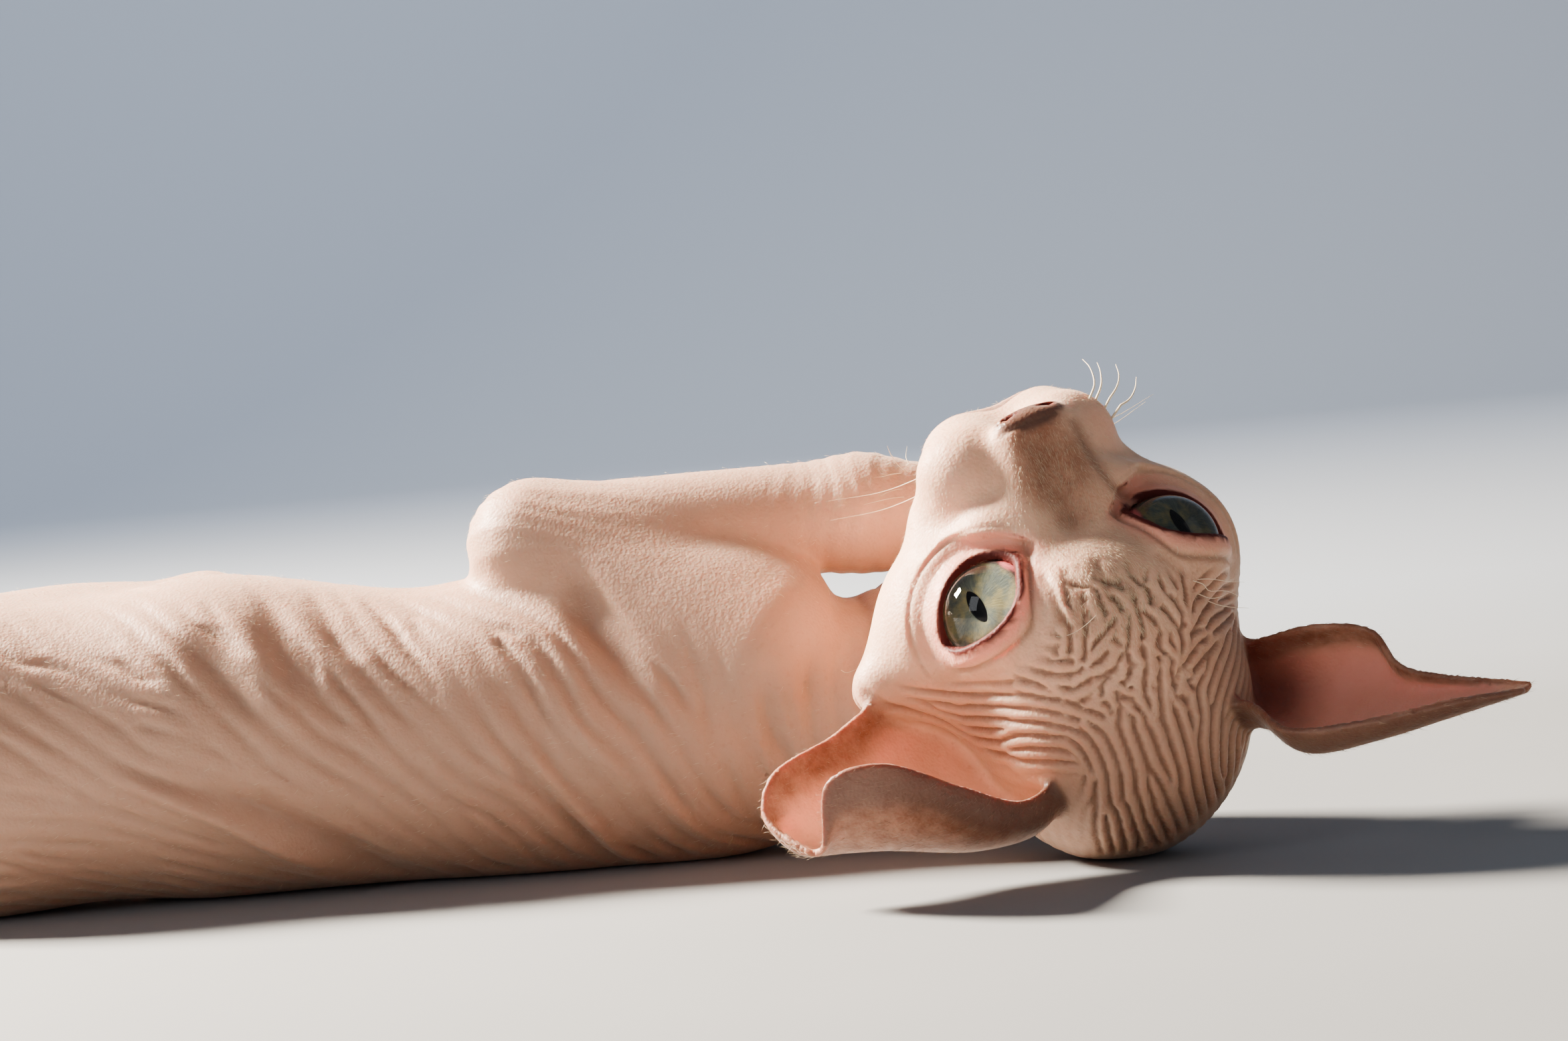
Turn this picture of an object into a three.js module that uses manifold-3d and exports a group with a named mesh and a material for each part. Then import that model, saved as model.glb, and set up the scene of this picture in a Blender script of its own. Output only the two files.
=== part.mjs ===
// A life-size sphynx kitten lying on the floor on its right side, its head tipped right back so
// that it rests on the back of the skull and looks up past its own crown.
//
// Units are millimetres and +Z is up. The body runs along X with the head at +X and the rump at
// -X, and the spine faces -Y. The floor is z = 0 and the origin is the middle of the footprint.
//
// Every fleshy part is a blend of rounded masses (ribs, belly, cheeks, bones with their muscle),
// turned into a closed mesh. Where one part grows from another, the second is cut by the first,
// grown by a thin gap, so that the two meet face to face.

import * as THREE from "three";
import { mergeVertices } from "three/addons/utils/BufferGeometryUtils.js";
import Module from "manifold-3d";

const wasm = await Module();
wasm.setup();

const point = (x, y, z) => new THREE.Vector3(x, y, z);

// Driving dimensions

const gap = 0.32; // space kept between parts that touch
const footing = 0.9; // how deep a resting form is pressed flat against the floor

// The head's own frame has x to the animal's right, y to the nose and z to the crown.
const headHeight = 38; // middle of the head above the floor
const headPitch = 119.6; // degrees the nose is tipped up from level
const headRoll = -14.4;
const headYaw = 10.8;

const skullWidth = 51;
const skullHeight = 46;
const skullLength = 61;
const cheekReach = 30.5; // from the middle line to the outside of a cheek
const noseTip = point(1.3, 39.6, -16.2);
const sag = -1.6; // the soft parts of the face hang a little to the animal's left

const eyeRadius = 10.3;
const eyeSpread = 15.4; // each eye's centre from the middle line
const eyeForward = 14.4;
const eyeLift = 0.6;
const corneaRadius = 7.7;
const corneaForward = 3.9;
const lidThickness = 1.5;

// The edge of the lids, seen from the front: inner corner, lower lid, outer corner, upper lid
const lidLine = [
  [9.8, -1.4], [8.2, -4.8], [5.2, -6.8], [1.4, -6.6], [-2.6, -5], [-6.4, -2.6],
  [-9.7, 0.6], [-7.8, 4.8], [-3.2, 7.8], [1.8, 8.4], [6.2, 6.4], [8.8, 2.8],
];
const lidRaise = { left: 0, right: -1.2 };
const lidPlane = 8.5; // how far in front of the eye's centre the edge of the lids lies
const lidFlare = 0.04; // share by which the opening widens for each millimetre farther out

const earWall = 1.7; // thickness of an ear at its root
const earRim = 1.1; // and at its rim

const chestDepth = 60;
const bellyDepth = 63;
const hipDepth = 62;
const trunkY = 56; // how far behind the head's middle the spine line lies

const toeCount = 4;
const toeReach = 16.5; // from the wrist or heel joint to the end of the middle toes

// Mesh fineness, as the spacing of the net laid over each form
const headNet = 3.7;
const jawNet = 4.6;
const noseNet = 2;
const nostrilNet = 1.1;
const trunkNet = 8.4;
const limbNet = 6.4;
const pawNet = 3.5;
const tailSides = 9;
const eyeRings = 10;
const eyeSides = 12;

// Masses: each has a signed distance, negative inside, and a box that holds it

function mass(box, distance) {
  return { box, distance };
}

function ellipsoid(centre, radii, turn = new THREE.Quaternion()) {
  const back = turn.clone().invert();
  const reach = Math.max(radii.x, radii.y, radii.z);
  const box = new THREE.Box3().setFromCenterAndSize(centre, point(2, 2, 2).multiplyScalar(reach));
  return mass(box, (place) => {
    const local = place.clone().sub(centre).applyQuaternion(back);
    const scaled = local.clone().divide(radii).length();
    const slope = local.divide(radii).divide(radii).length();
    return slope > 1e-9 ? (scaled * (scaled - 1)) / slope : -Math.min(radii.x, radii.y, radii.z);
  });
}

function ball(centre, radius) {
  return ellipsoid(centre, point(radius, radius, radius));
}

// A bone with its flesh: two balls and the cone between them
function taper(start, end, startRadius, endRadius) {
  const box = new THREE.Box3();
  box.expandByPoint(start.clone().subScalar(startRadius));
  box.expandByPoint(start.clone().addScalar(startRadius));
  box.expandByPoint(end.clone().subScalar(endRadius));
  box.expandByPoint(end.clone().addScalar(endRadius));
  const axis = end.clone().sub(start);
  const span = axis.lengthSq();
  const narrowing = startRadius - endRadius;
  const side = span - narrowing * narrowing;
  return mass(box, (place) => {
    const from = place.clone().sub(start);
    const along = from.dot(axis);
    const beyond = along - span;
    const acrossSquared = from.clone().multiplyScalar(span).addScaledVector(axis, -along).lengthSq();
    const alongSquared = along * along * span;
    const beyondSquared = beyond * beyond * span;
    const edge = Math.sign(narrowing) * narrowing * narrowing * acrossSquared;
    if (Math.sign(beyond) * side * beyondSquared > edge) {
      return Math.sqrt(acrossSquared + beyondSquared) / span - endRadius;
    }
    if (Math.sign(along) * side * alongSquared < edge) {
      return Math.sqrt(acrossSquared + alongSquared) / span - startRadius;
    }
    return (Math.sqrt((acrossSquared * side) / span) + along * narrowing) / span - startRadius;
  });
}

// Masses melted together over the given distance
function blend(softness, ...masses) {
  const box = new THREE.Box3();
  masses.forEach((one) => box.union(one.box));
  return mass(box, (place) => {
    let nearest = masses[0].distance(place);
    for (const one of masses.slice(1)) {
      const other = one.distance(place);
      const overlap = Math.max(softness - Math.abs(nearest - other), 0) / softness;
      nearest = Math.min(nearest, other) - (overlap * overlap * softness) / 4;
    }
    return nearest;
  });
}

// A mass with a soft hollow pressed into it
function pressed(softness, body, tool) {
  return mass(body.box, (place) => {
    const inside = body.distance(place);
    const away = -tool.distance(place);
    const overlap = Math.max(softness - Math.abs(inside - away), 0) / softness;
    return Math.max(inside, away) + (overlap * overlap * softness) / 4;
  });
}

// The same mass on both sides of the middle line
function paired(make) {
  return [make(-1), make(1)];
}

// A closed net drawn tight over a mass, one knot to each cell that the surface crosses
function netOver(one, spacing, grow = 0) {
  const low = one.box.min.clone().subScalar(2.3 * spacing);
  const size = one.box.max.clone().addScalar(2.3 * spacing).sub(low);
  const [nx, ny, nz] = size.toArray().map((length) => Math.ceil(length / spacing) + 1);
  const reading = new Float32Array(nx * ny * nz);
  const cellIndex = (i, j, k) => (k * ny + j) * nx + i;
  const corner = (i, j, k) => point(low.x + i * spacing, low.y + j * spacing, low.z + k * spacing);
  for (let k = 0; k < nz; k += 1) {
    for (let j = 0; j < ny; j += 1) {
      for (let i = 0; i < nx; i += 1) {
        reading[cellIndex(i, j, k)] = one.distance(corner(i, j, k)) - grow;
      }
    }
  }
  let joined = true;
  while (joined) {
    joined = false;
    for (let k = 1; k < nz - 1; k += 1) {
      for (let j = 1; j < ny - 1; j += 1) {
        for (let i = 1; i < nx - 1; i += 1) {
          for (let axis = 0; axis < 3; axis += 1) {
            joined = diagonalJoined([i, j, k], axis) || joined;
          }
        }
      }
    }
  }

  // Where only two opposite corners of a square of the grid are inside, the nearer of the others
  // is taken in, because the net would meet itself along an edge there.
  function diagonalJoined(start, axis) {
    const [a, b, c, d] = [[0, 0], [1, 0], [1, 1], [0, 1]].map(([first, second]) => {
      const place = [...start];
      place[(axis + 1) % 3] += first;
      place[(axis + 2) % 3] += second;
      return cellIndex(...place);
    });
    const inside = (index) => reading[index] < 0;
    if (inside(a) !== inside(c) || inside(b) !== inside(d) || inside(a) === inside(b)) {
      return false;
    }
    const outer = inside(a) ? [b, d] : [a, c];
    const taken = reading[outer[0]] < reading[outer[1]] ? outer[0] : outer[1];
    reading[taken] = -0.01 * spacing;
    return true;
  }

  const knots = [];
  const knotOf = new Map();
  for (let k = 0; k < nz - 1; k += 1) {
    for (let j = 0; j < ny - 1; j += 1) {
      for (let i = 0; i < nx - 1; i += 1) {
        const knot = knotInCell(i, j, k);
        if (knot) {
          knotOf.set(cellIndex(i, j, k), knots.length);
          knots.push(knot);
        }
      }
    }
  }

  function knotInCell(i, j, k) {
    const sum = point(0, 0, 0);
    let crossings = 0;
    for (let axis = 0; axis < 3; axis += 1) {
      for (let side = 0; side < 4; side += 1) {
        const start = [i, j, k];
        start[(axis + 1) % 3] += side & 1;
        start[(axis + 2) % 3] += side >> 1;
        const end = [...start];
        end[axis] += 1;
        const startReading = reading[cellIndex(...start)];
        const endReading = reading[cellIndex(...end)];
        if (startReading < 0 !== endReading < 0) {
          const share = startReading / (startReading - endReading);
          sum.add(corner(...start).lerp(corner(...end), share));
          crossings += 1;
        }
      }
    }
    return crossings ? drawnTight(sum.divideScalar(crossings)) : null;
  }

  function drawnTight(start) {
    const knot = start.clone();
    for (let pass = 0; pass < 3; pass += 1) {
      const here = one.distance(knot) - grow;
      const step = spacing * 0.02;
      const slope = point(
        one.distance(knot.clone().setX(knot.x + step)) - grow - here,
        one.distance(knot.clone().setY(knot.y + step)) - grow - here,
        one.distance(knot.clone().setZ(knot.z + step)) - grow - here
      ).divideScalar(step);
      knot.addScaledVector(slope, -here / Math.max(slope.lengthSq(), 0.2));
    }
    const pull = knot.sub(start).clampLength(0, 0.45 * spacing);
    return start.clone().add(pull);
  }

  const triangles = [];
  for (let k = 1; k < nz - 1; k += 1) {
    for (let j = 1; j < ny - 1; j += 1) {
      for (let i = 1; i < nx - 1; i += 1) {
        for (let axis = 0; axis < 3; axis += 1) {
          addFace([i, j, k], axis);
        }
      }
    }
  }

  function addFace(start, axis) {
    const end = [...start];
    end[axis] += 1;
    const startInside = reading[cellIndex(...start)] < 0;
    if (startInside === reading[cellIndex(...end)] < 0) {
      return;
    }
    const ring = [[0, 0], [1, 0], [1, 1], [0, 1]].map(([first, second]) => {
      const cell = [...start];
      cell[(axis + 1) % 3] -= first;
      cell[(axis + 2) % 3] -= second;
      return knotOf.get(cellIndex(...cell));
    });
    const [a, b, c, d] = startInside ? ring : ring.reverse();
    const acrossFirst = knots[a].distanceTo(knots[c]);
    const acrossSecond = knots[b].distanceTo(knots[d]);
    if (acrossFirst < acrossSecond) {
      triangles.push(a, b, c, a, c, d);
    } else {
      triangles.push(a, b, d, b, c, d);
    }
  }

  return solidFrom(knots.flatMap((knot) => knot.toArray()), triangles);
}

// Closed solids, their joins and their cuts

function solidFrom(positions, triangles) {
  const mesh = { numProp: 3, vertProperties: Float32Array.from(positions), triVerts: Uint32Array.from(triangles) };
  return new wasm.Manifold(new wasm.Mesh(mesh));
}

function solidOf(geometry) {
  const bare = geometry.clone();
  bare.deleteAttribute("normal");
  bare.deleteAttribute("uv");
  const merged = mergeVertices(bare, 1e-4);
  return solidFrom(merged.getAttribute("position").array, merged.getIndex().array);
}

function largestBody(solid) {
  return solid.decompose().reduce((best, one) => (one.volume() > best.volume() ? one : best));
}

function movedBy(solid, frame) {
  return solid.transform(frame.elements);
}

// Flattened where it meets the floor of its own frame
function restedOnFloor(solid, frame = new THREE.Matrix4()) {
  const intoFrame = frame.clone().invert();
  const upward = point(0, 0, 1).transformDirection(intoFrame);
  const floorPoint = point(0, 0, 0).applyMatrix4(intoFrame);
  return solid.trimByPlane(upward.toArray(), floorPoint.dot(upward));
}

// Skin colours of the animal

const skin = { color: 0xc39a86, roughness: 0.62 };
const darkSkin = { color: 0x6d4a41, roughness: 0.5 };
const pinkSkin = { color: 0xc78f88, roughness: 0.55 };
const wetEye = { color: 0x7f8c7c, roughness: 0.08 };

function meshOf(name, solid, look) {
  const whole = largestBody(solid).getMesh();
  const geometry = new THREE.BufferGeometry();
  geometry.setAttribute("position", new THREE.BufferAttribute(whole.vertProperties.slice(), 3));
  geometry.setIndex(new THREE.BufferAttribute(whole.triVerts.slice(), 1));
  geometry.computeVertexNormals();
  const material = new THREE.MeshStandardMaterial({ metalness: 0, flatShading: true, ...look });
  const mesh = new THREE.Mesh(geometry, material);
  mesh.name = name;
  return mesh;
}

// Head

const headFrame = new THREE.Matrix4().compose(
  point(0, 0, headHeight),
  new THREE.Quaternion().setFromEuler(new THREE.Euler(
    THREE.MathUtils.degToRad(headPitch),
    THREE.MathUtils.degToRad(headRoll),
    THREE.MathUtils.degToRad(headYaw),
    "ZYX"
  )),
  point(1, 1, 1)
);

const eyeCentre = (side) => point(side * eyeSpread, eyeForward, eyeLift);
// The lids open outward from the middle line, while both pupils are turned to the viewer.
const lidFacing = (side) => point(side * 0.56, 0.81, 0.13).normalize();
const gaze = {
  left: point(-0.634, 0.739, 0.229).normalize(),
  right: point(0.566, 0.816, 0.116).normalize(),
};

const cranium = ellipsoid(point(0, -9.5, 5), point(skullWidth, skullLength, skullHeight).divideScalar(2));
const brow = ellipsoid(point(0, 10.5, 5.5), point(18, 15.5, 12.5));
const cheek = (side) => ellipsoid(point(side * (cheekReach - 14), 3, -7), point(14, 16, 12));
const jowl = (side) => ellipsoid(point(side * 17.9 + sag, 7.4, -15.5), point(13.4, 15, 12));
const cheekbone = (side) => taper(point(side * 12, 25, -9), point(side * 22.5 + sag / 2, 10, -8), 5.4, 8);
const bridgeEdge = (side) => taper(
  point(side * 5, 22.5, -4.4), point(noseTip.x + side * 3.4, noseTip.y - 3.2, noseTip.z + 0.9), 5.8, 4.6
);
const whiskerPad = (side) => ellipsoid(point(side * 8.6 + sag * 0.7, 30.2, -20.8), point(10.1, 9.5, 9));
const lipCorner = (side) => ball(point(side * 13.8 + sag, 21.8, -21.6), 7.2);
const chin = (side) => ball(point(side * 7 + sag / 2, 28.8, -26.8), 8.9);
const jawBone = (side) => taper(point(side * 16 + sag, -4, -20), point(side * 11 + sag, 18, -25.2), 8, 7.6);
const foldedEarRoot = taper(point(-26, 1, -11), point(-37.5, 2, -8.5), 9.5, 5);
const lidCentre = (side) => eyeCentre(side).addScaledVector(lidFacing(side), 0.4);

function headMass() {
  const skull = blend(9, cranium, brow, ...paired(cheek), ...paired(jowl), ...paired(cheekbone), foldedEarRoot);
  const bridge = blend(3, ...paired(bridgeEdge));
  const face = blend(3.5, blend(6, skull, bridge, ...paired(lipCorner)), ...paired(whiskerPad));
  const lidReach = eyeRadius + lidThickness;
  const socketed = paired((side) => ball(lidCentre(side), lidReach + 0.3))
    .reduce((whole, socket) => pressed(3, whole, socket), face);
  return blend(3, socketed, ...paired((side) => ball(lidCentre(side), lidReach)));
}

const jawMass = blend(7, ...paired(chin), ...paired(jawBone), ellipsoid(point(sag, 11, -22), point(13, 16, 9)));
const noseMass = blend(
  2.5,
  ellipsoid(noseTip, point(5.4, 2.8, 3.4)),
  ...paired((side) => ball(point(noseTip.x + side * 4.4, noseTip.y - 1.3, noseTip.z - 0.2), 2.7))
);

// An eyeball with its clear bulge to the front, turned about its own axis
function eyeSolid(centre, facing, grow) {
  const outline = [];
  for (let ring = 0; ring <= eyeRings; ring += 1) {
    const angle = (Math.PI * ring) / eyeRings;
    const bulge = corneaForward * Math.cos(angle)
      + Math.sqrt(Math.max(corneaRadius ** 2 - (corneaForward * Math.sin(angle)) ** 2, 0));
    const reach = (angle < Math.PI / 2 ? Math.max(eyeRadius, bulge) : eyeRadius) + grow;
    const across = ring % eyeRings ? reach * Math.sin(angle) : 0;
    outline.push(new THREE.Vector2(across, reach * Math.cos(angle)));
  }
  const geometry = new THREE.LatheGeometry(outline.reverse(), eyeSides);
  geometry.applyQuaternion(new THREE.Quaternion().setFromUnitVectors(point(0, 1, 0), facing));
  geometry.translate(...centre.toArray());
  return solidOf(geometry);
}

// The almond between the lids, pushed outward from the middle of the eye and wider the farther out
function lidOpening(side) {
  const raise = side < 0 ? lidRaise.left : lidRaise.right;
  const corners = lidLine.map(([inward, upward]) => new THREE.Vector2(side * inward, upward + raise));
  const almond = new THREE.Shape(new THREE.SplineCurve([...corners, corners[0]]).getPoints(2 * lidLine.length));
  const cutter = new THREE.ExtrudeGeometry(almond, { depth: 2 * eyeRadius, bevelEnabled: false });
  const places = cutter.getAttribute("position");
  for (let index = 0; index < places.count; index += 1) {
    const widening = 1 + lidFlare * (places.getZ(index) - lidPlane);
    places.setXY(index, places.getX(index) * widening, places.getY(index) * widening);
  }
  const outward = lidFacing(side);
  const upward = point(0, 0, 1).addScaledVector(outward, -outward.z).normalize();
  const sideways = new THREE.Vector3().crossVectors(upward, outward);
  cutter.applyMatrix4(new THREE.Matrix4().makeBasis(sideways, upward, outward));
  cutter.translate(...eyeCentre(side).toArray());
  return solidOf(cutter);
}

// Ear: a cup laid between two edge curves, with its hollow back bulging away from its opening
const rightEar = {
  inner: [[12, -8, 15], [18, -3, 25], [20, -1.5, 37], [30, 1.5, 45.5], [45, 2.5, 50], [58, -0.5, 50.5]],
  outer: [[21, -8, 2], [28, -4, 9], [36, -0.5, 15], [44, -1, 21], [46, -4, 31], [61, -2.5, 47.5]],
  back: point(0.35, -1, -0.05),
  depth: [9, 13, 14, 11, 6.5, 0.8],
};
const leftEar = {
  inner: [[-13, -9, 17], [-25, -5.5, 25], [-36, 5, 28], [-48, 15.5, 28], [-58, 14.5, 26], [-61.5, 3.5, 27.5]],
  outer: [[-24, -4, -9], [-37.5, 1.5, -6.5], [-50, 3.5, 1], [-63, 6.5, 8.5], [-67.5, 2.5, 14], [-63.5, 1, 25]],
  back: point(0.3, -1, 0.35),
  depth: [9, 14, 18.5, 17.5, 11, 1],
};
const earSteps = 11; // from the root to the tip, and as many across

function earSolid(shape) {
  const inner = new THREE.CatmullRomCurve3(shape.inner.map((place) => point(...place)));
  const outer = new THREE.CatmullRomCurve3(shape.outer.map((place) => point(...place)));
  const depth = new THREE.SplineCurve(shape.depth.map((value, step) => new THREE.Vector2(step, value)));
  const back = shape.back.clone().normalize();
  const middle = (u, v) => {
    const sweep = Math.PI * u;
    const place = inner.getPoint(v).lerp(outer.getPoint(v), (1 - Math.cos(sweep)) / 2);
    return place.addScaledVector(back, depth.getPoint(v).y * Math.sin(sweep) ** 0.85);
  };
  const outward = (u, v) => {
    const step = 0.01;
    const alongU = middle(Math.min(u + step, 1), v).sub(middle(Math.max(u - step, 0), v));
    const alongV = middle(u, Math.min(v + step, 1)).sub(middle(u, Math.max(v - step, 0)));
    return alongU.cross(alongV).normalize();
  };
  const turned = outward(0.5, 0.4).dot(back) > 0 ? 1 : -1;
  const positions = [];
  for (const face of [1, -1]) {
    for (let row = 0; row <= earSteps; row += 1) {
      for (let column = 0; column <= earSteps; column += 1) {
        const u = column / earSteps;
        const v = row / earSteps;
        const nearEdge = Math.max(Math.abs(2 * u - 1) ** 4, v ** 2);
        const half = THREE.MathUtils.lerp(earWall, earRim, nearEdge) / 2;
        positions.push(...middle(u, v).addScaledVector(outward(u, v), face * turned * half).toArray());
      }
    }
  }
  const rowLength = earSteps + 1;
  const faceLength = rowLength * rowLength;
  const triangles = [];
  function addQuad(a, b, c, d) {
    if (turned > 0) {
      triangles.push(a, b, c, a, c, d);
    } else {
      triangles.push(a, c, b, a, d, c);
    }
  }
  for (let row = 0; row < earSteps; row += 1) {
    for (let column = 0; column < earSteps; column += 1) {
      const near = row * rowLength + column;
      const far = near + rowLength;
      addQuad(near, near + 1, far + 1, far);
      addQuad(faceLength + near, faceLength + far, faceLength + far + 1, faceLength + near + 1);
    }
  }
  const last = earSteps * rowLength;
  for (let step = 0; step < earSteps; step += 1) {
    const border = [
      [step, step + 1],
      [step * rowLength + earSteps, (step + 1) * rowLength + earSteps],
      [last + step + 1, last + step],
      [(step + 1) * rowLength, step * rowLength],
    ];
    border.forEach(([first, next]) => addQuad(next, first, faceLength + first, faceLength + next));
  }
  return solidFrom(positions, triangles);
}

const headWhole = netOver(headMass(), headNet);
const headGrown = netOver(headMass(), headNet, gap);
const noseSolid = netOver(noseMass, noseNet);
const noseGrown = netOver(noseMass, noseNet, gap);

const head = new THREE.Group();
head.applyMatrix4(headFrame);

let headSolid = headWhole.subtract(noseGrown);
for (const side of [-1, 1]) {
  const facing = side < 0 ? gaze.left : gaze.right;
  headSolid = headSolid.subtract(eyeSolid(eyeCentre(side), facing, gap)).subtract(lidOpening(side));
}
head.add(meshOf("head", restedOnFloor(headSolid, headFrame), skin));
head.add(meshOf("eye_left", eyeSolid(eyeCentre(-1), gaze.left, 0), wetEye));
head.add(meshOf("eye_right", eyeSolid(eyeCentre(1), gaze.right, 0), wetEye));

const nostril = (side) => taper(
  point(noseTip.x + side * 2.4, noseTip.y + 3.3, noseTip.z - 0.8),
  point(noseTip.x + side * 4.9, noseTip.y - 0.2, noseTip.z - 1.2),
  0.95,
  1.25
);
const nostrils = paired(nostril).map((one) => netOver(one, nostrilNet));
head.add(meshOf("nose", nostrils.reduce((solid, hole) => solid.subtract(hole), noseSolid), darkSkin));

const jawSolid = netOver(jawMass, jawNet).subtract(headGrown).subtract(noseGrown);
const jawGrown = netOver(jawMass, jawNet, gap);
head.add(meshOf("lower_jaw", jawSolid, skin));

for (const [name, shape] of [["ear_left", leftEar], ["ear_right", rightEar]]) {
  const ear = earSolid(shape).subtract(headGrown).subtract(jawGrown);
  head.add(meshOf(name, restedOnFloor(largestBody(ear), headFrame), pinkSkin));
}

// Trunk: ribs, belly, hips and neck in one form, parted by thin cuts across the spine

const trunkMass = blend(
  14,
  ellipsoid(point(-88, trunkY - 2, chestDepth / 2 - footing), point(40, 28, chestDepth / 2)),
  ellipsoid(point(-124, trunkY, 27.5), point(42, 28, 28)),
  ellipsoid(point(-166, trunkY + 2, bellyDepth / 2 - footing), point(42, 31, bellyDepth / 2)),
  ellipsoid(point(-212, trunkY + 1, hipDepth / 2 - footing), point(38, 29, hipDepth / 2)),
  taper(point(-66, trunkY - 4, 26.5), point(-24, 42, 25), 24, 19),
  taper(point(-24, 42, 25), point(2, 26, 27), 19, 17),
  ellipsoid(point(-22, 42, 32), point(16, 13, 12))
);
const neckCut = { place: point(-57, 48, 26), along: point(0.96, -0.28, 0) };
const ribsCut = { place: point(-132, trunkY, 28), along: point(1, 0, 0) };
const bellyCut = { place: point(-188, trunkY, 28), along: point(1, 0, 0) };

// The part of a solid before a cut, and the part beyond it, with the gap between them
function partedAt(solid, { place, along }) {
  const across = along.clone().normalize();
  const offset = place.dot(across);
  return [
    solid.trimByPlane(across.toArray(), offset + gap / 2),
    solid.trimByPlane(across.clone().negate().toArray(), -offset + gap / 2),
  ];
}

const headInBody = movedBy(headGrown.add(jawGrown), headFrame);
const trunkWhole = netOver(trunkMass, trunkNet);
const trunkGrown = netOver(trunkMass, trunkNet, gap);
const [neckSolid, behindNeck] = partedAt(trunkWhole, neckCut);
const [chestSolid, behindRibs] = partedAt(behindNeck, ribsCut);
const [bellySolid, rumpSolid] = partedAt(behindRibs, bellyCut);

const cat = new THREE.Group();
cat.add(head);
cat.add(meshOf("neck", restedOnFloor(neckSolid.subtract(headInBody)), skin));
cat.add(meshOf("chest", restedOnFloor(chestSolid.subtract(headInBody)), skin));
cat.add(meshOf("belly", restedOnFloor(bellySolid), skin));
cat.add(meshOf("rump", restedOnFloor(rumpSolid), skin));

// Limbs: each is one form along its bones, parted by a thin cut through every joint

const forelegLeft = {
  name: "foreleg_left",
  joints: [point(-58, 37, 40), point(-101, 51, 62.6), point(-38, 49, 63.6), point(-14, 47, 62)],
  radii: [16, 12, 10.6, 7.4],
  muscle: ellipsoid(point(-70, 40, 42), point(24, 11, 15), turnedAboutY(-22)),
  pawDown: point(0.1, 0, -1),
};
const forelegRight = {
  name: "foreleg_right",
  joints: [point(-62, 74, 26), point(-110, 90, 24), point(-48, 114, 12), point(-24, 121, 7.6)],
  radii: [14, 11, 8, 6.6],
  muscle: ellipsoid(point(-76, 78, 27), point(24, 11, 15)),
  pawDown: point(0, 0, -1),
};
const hindlegLeft = {
  name: "hindleg_left",
  joints: [point(-222, 60, 40), point(-170, 79, 47.5), point(-218, 122, 20), point(-186, 144, 9.6)],
  radii: [19, 13.5, 8.5, 7],
  muscle: ellipsoid(point(-202, 71, 40), point(35, 16, 21), turnedAboutY(-8)),
  pawDown: point(0, 0, -1),
};
const hindlegRight = {
  name: "hindleg_right",
  joints: [point(-226, 62, 21), point(-262, 112, 13), point(-236, 170, 9.4), point(-200, 184, 7.6)],
  radii: [19, 12, 8, 7],
  muscle: ellipsoid(point(-236, 76, 20), point(24, 30, 20)),
  pawDown: point(0, 0, -1),
};

function turnedAboutY(degrees) {
  return new THREE.Quaternion().setFromAxisAngle(point(0, 1, 0), THREE.MathUtils.degToRad(degrees));
}

function pawMass({ joints, radii, pawDown }) {
  const wrist = joints[3];
  const along = wrist.clone().sub(joints[2]).setZ(0).normalize();
  const down = pawDown.clone().normalize();
  const across = new THREE.Vector3().crossVectors(along, down);
  const ahead = (distance, side, drop) => wrist.clone()
    .addScaledVector(along, distance).addScaledVector(across, side).addScaledVector(down, drop);
  const parts = [taper(joints[2], wrist, radii[2] * 0.95, radii[3]), taper(wrist, ahead(6, 0, 0), radii[3], 6.4)];
  for (let toe = 0; toe < toeCount; toe += 1) {
    const spread = toe - (toeCount - 1) / 2;
    const reach = toeReach - 1.6 * Math.abs(spread) ** 1.5;
    const knuckle = ahead(reach - 6, spread * 5, -0.4);
    parts.push(taper(ahead(4, spread * 3.2, 0.2), knuckle, 3.7, 3.6));
    parts.push(taper(knuckle, ahead(reach, spread * 5.5, 2.4), 3.6, 3.3));
  }
  return blend(1.6, ...parts);
}

// The plane through a joint that keeps both of its bones apart, however far the joint is bent
function jointCut(before, joint, after) {
  const towardAfter = after.clone().sub(joint).normalize();
  const towardBefore = before.clone().sub(joint).normalize();
  return { place: joint, along: towardBefore.sub(towardAfter) };
}

function addLimb(limb, parents) {
  const [root, elbow, wrist, paw] = limb.joints;
  const [rootRadius, elbowRadius, wristRadius, pawRadius] = limb.radii;
  const bones = [
    taper(root, elbow, rootRadius, elbowRadius),
    taper(elbow, wrist, elbowRadius * 0.94, wristRadius),
    taper(wrist, paw, wristRadius * 0.95, pawRadius),
  ];
  const leg = netOver(blend(5, ...bones, limb.muscle), limbNet);
  const cleared = parents.reduce((solid, parent) => solid.subtract(parent), leg);
  const [upper, belowElbow] = partedAt(cleared, jointCut(root, elbow, wrist));
  const [lower, belowWrist] = partedAt(belowElbow, jointCut(elbow, wrist, paw));
  const toeward = paw.clone().multiplyScalar(2).sub(wrist);
  const [foot] = partedAt(belowWrist, jointCut(wrist, paw, toeward));
  const [, pawSolid] = partedAt(netOver(pawMass(limb), pawNet), jointCut(wrist, paw, toeward));
  cat.add(meshOf(limb.name + "_upper", restedOnFloor(largestBody(upper)), skin));
  cat.add(meshOf(limb.name + "_lower", restedOnFloor(largestBody(lower)), skin));
  cat.add(meshOf(limb.name + "_foot", restedOnFloor(largestBody(foot)), skin));
  cat.add(meshOf(limb.name + "_paw", restedOnFloor(largestBody(pawSolid)), skin));
}


// Tail: three lengths of one tapering tube that lies on the floor

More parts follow.
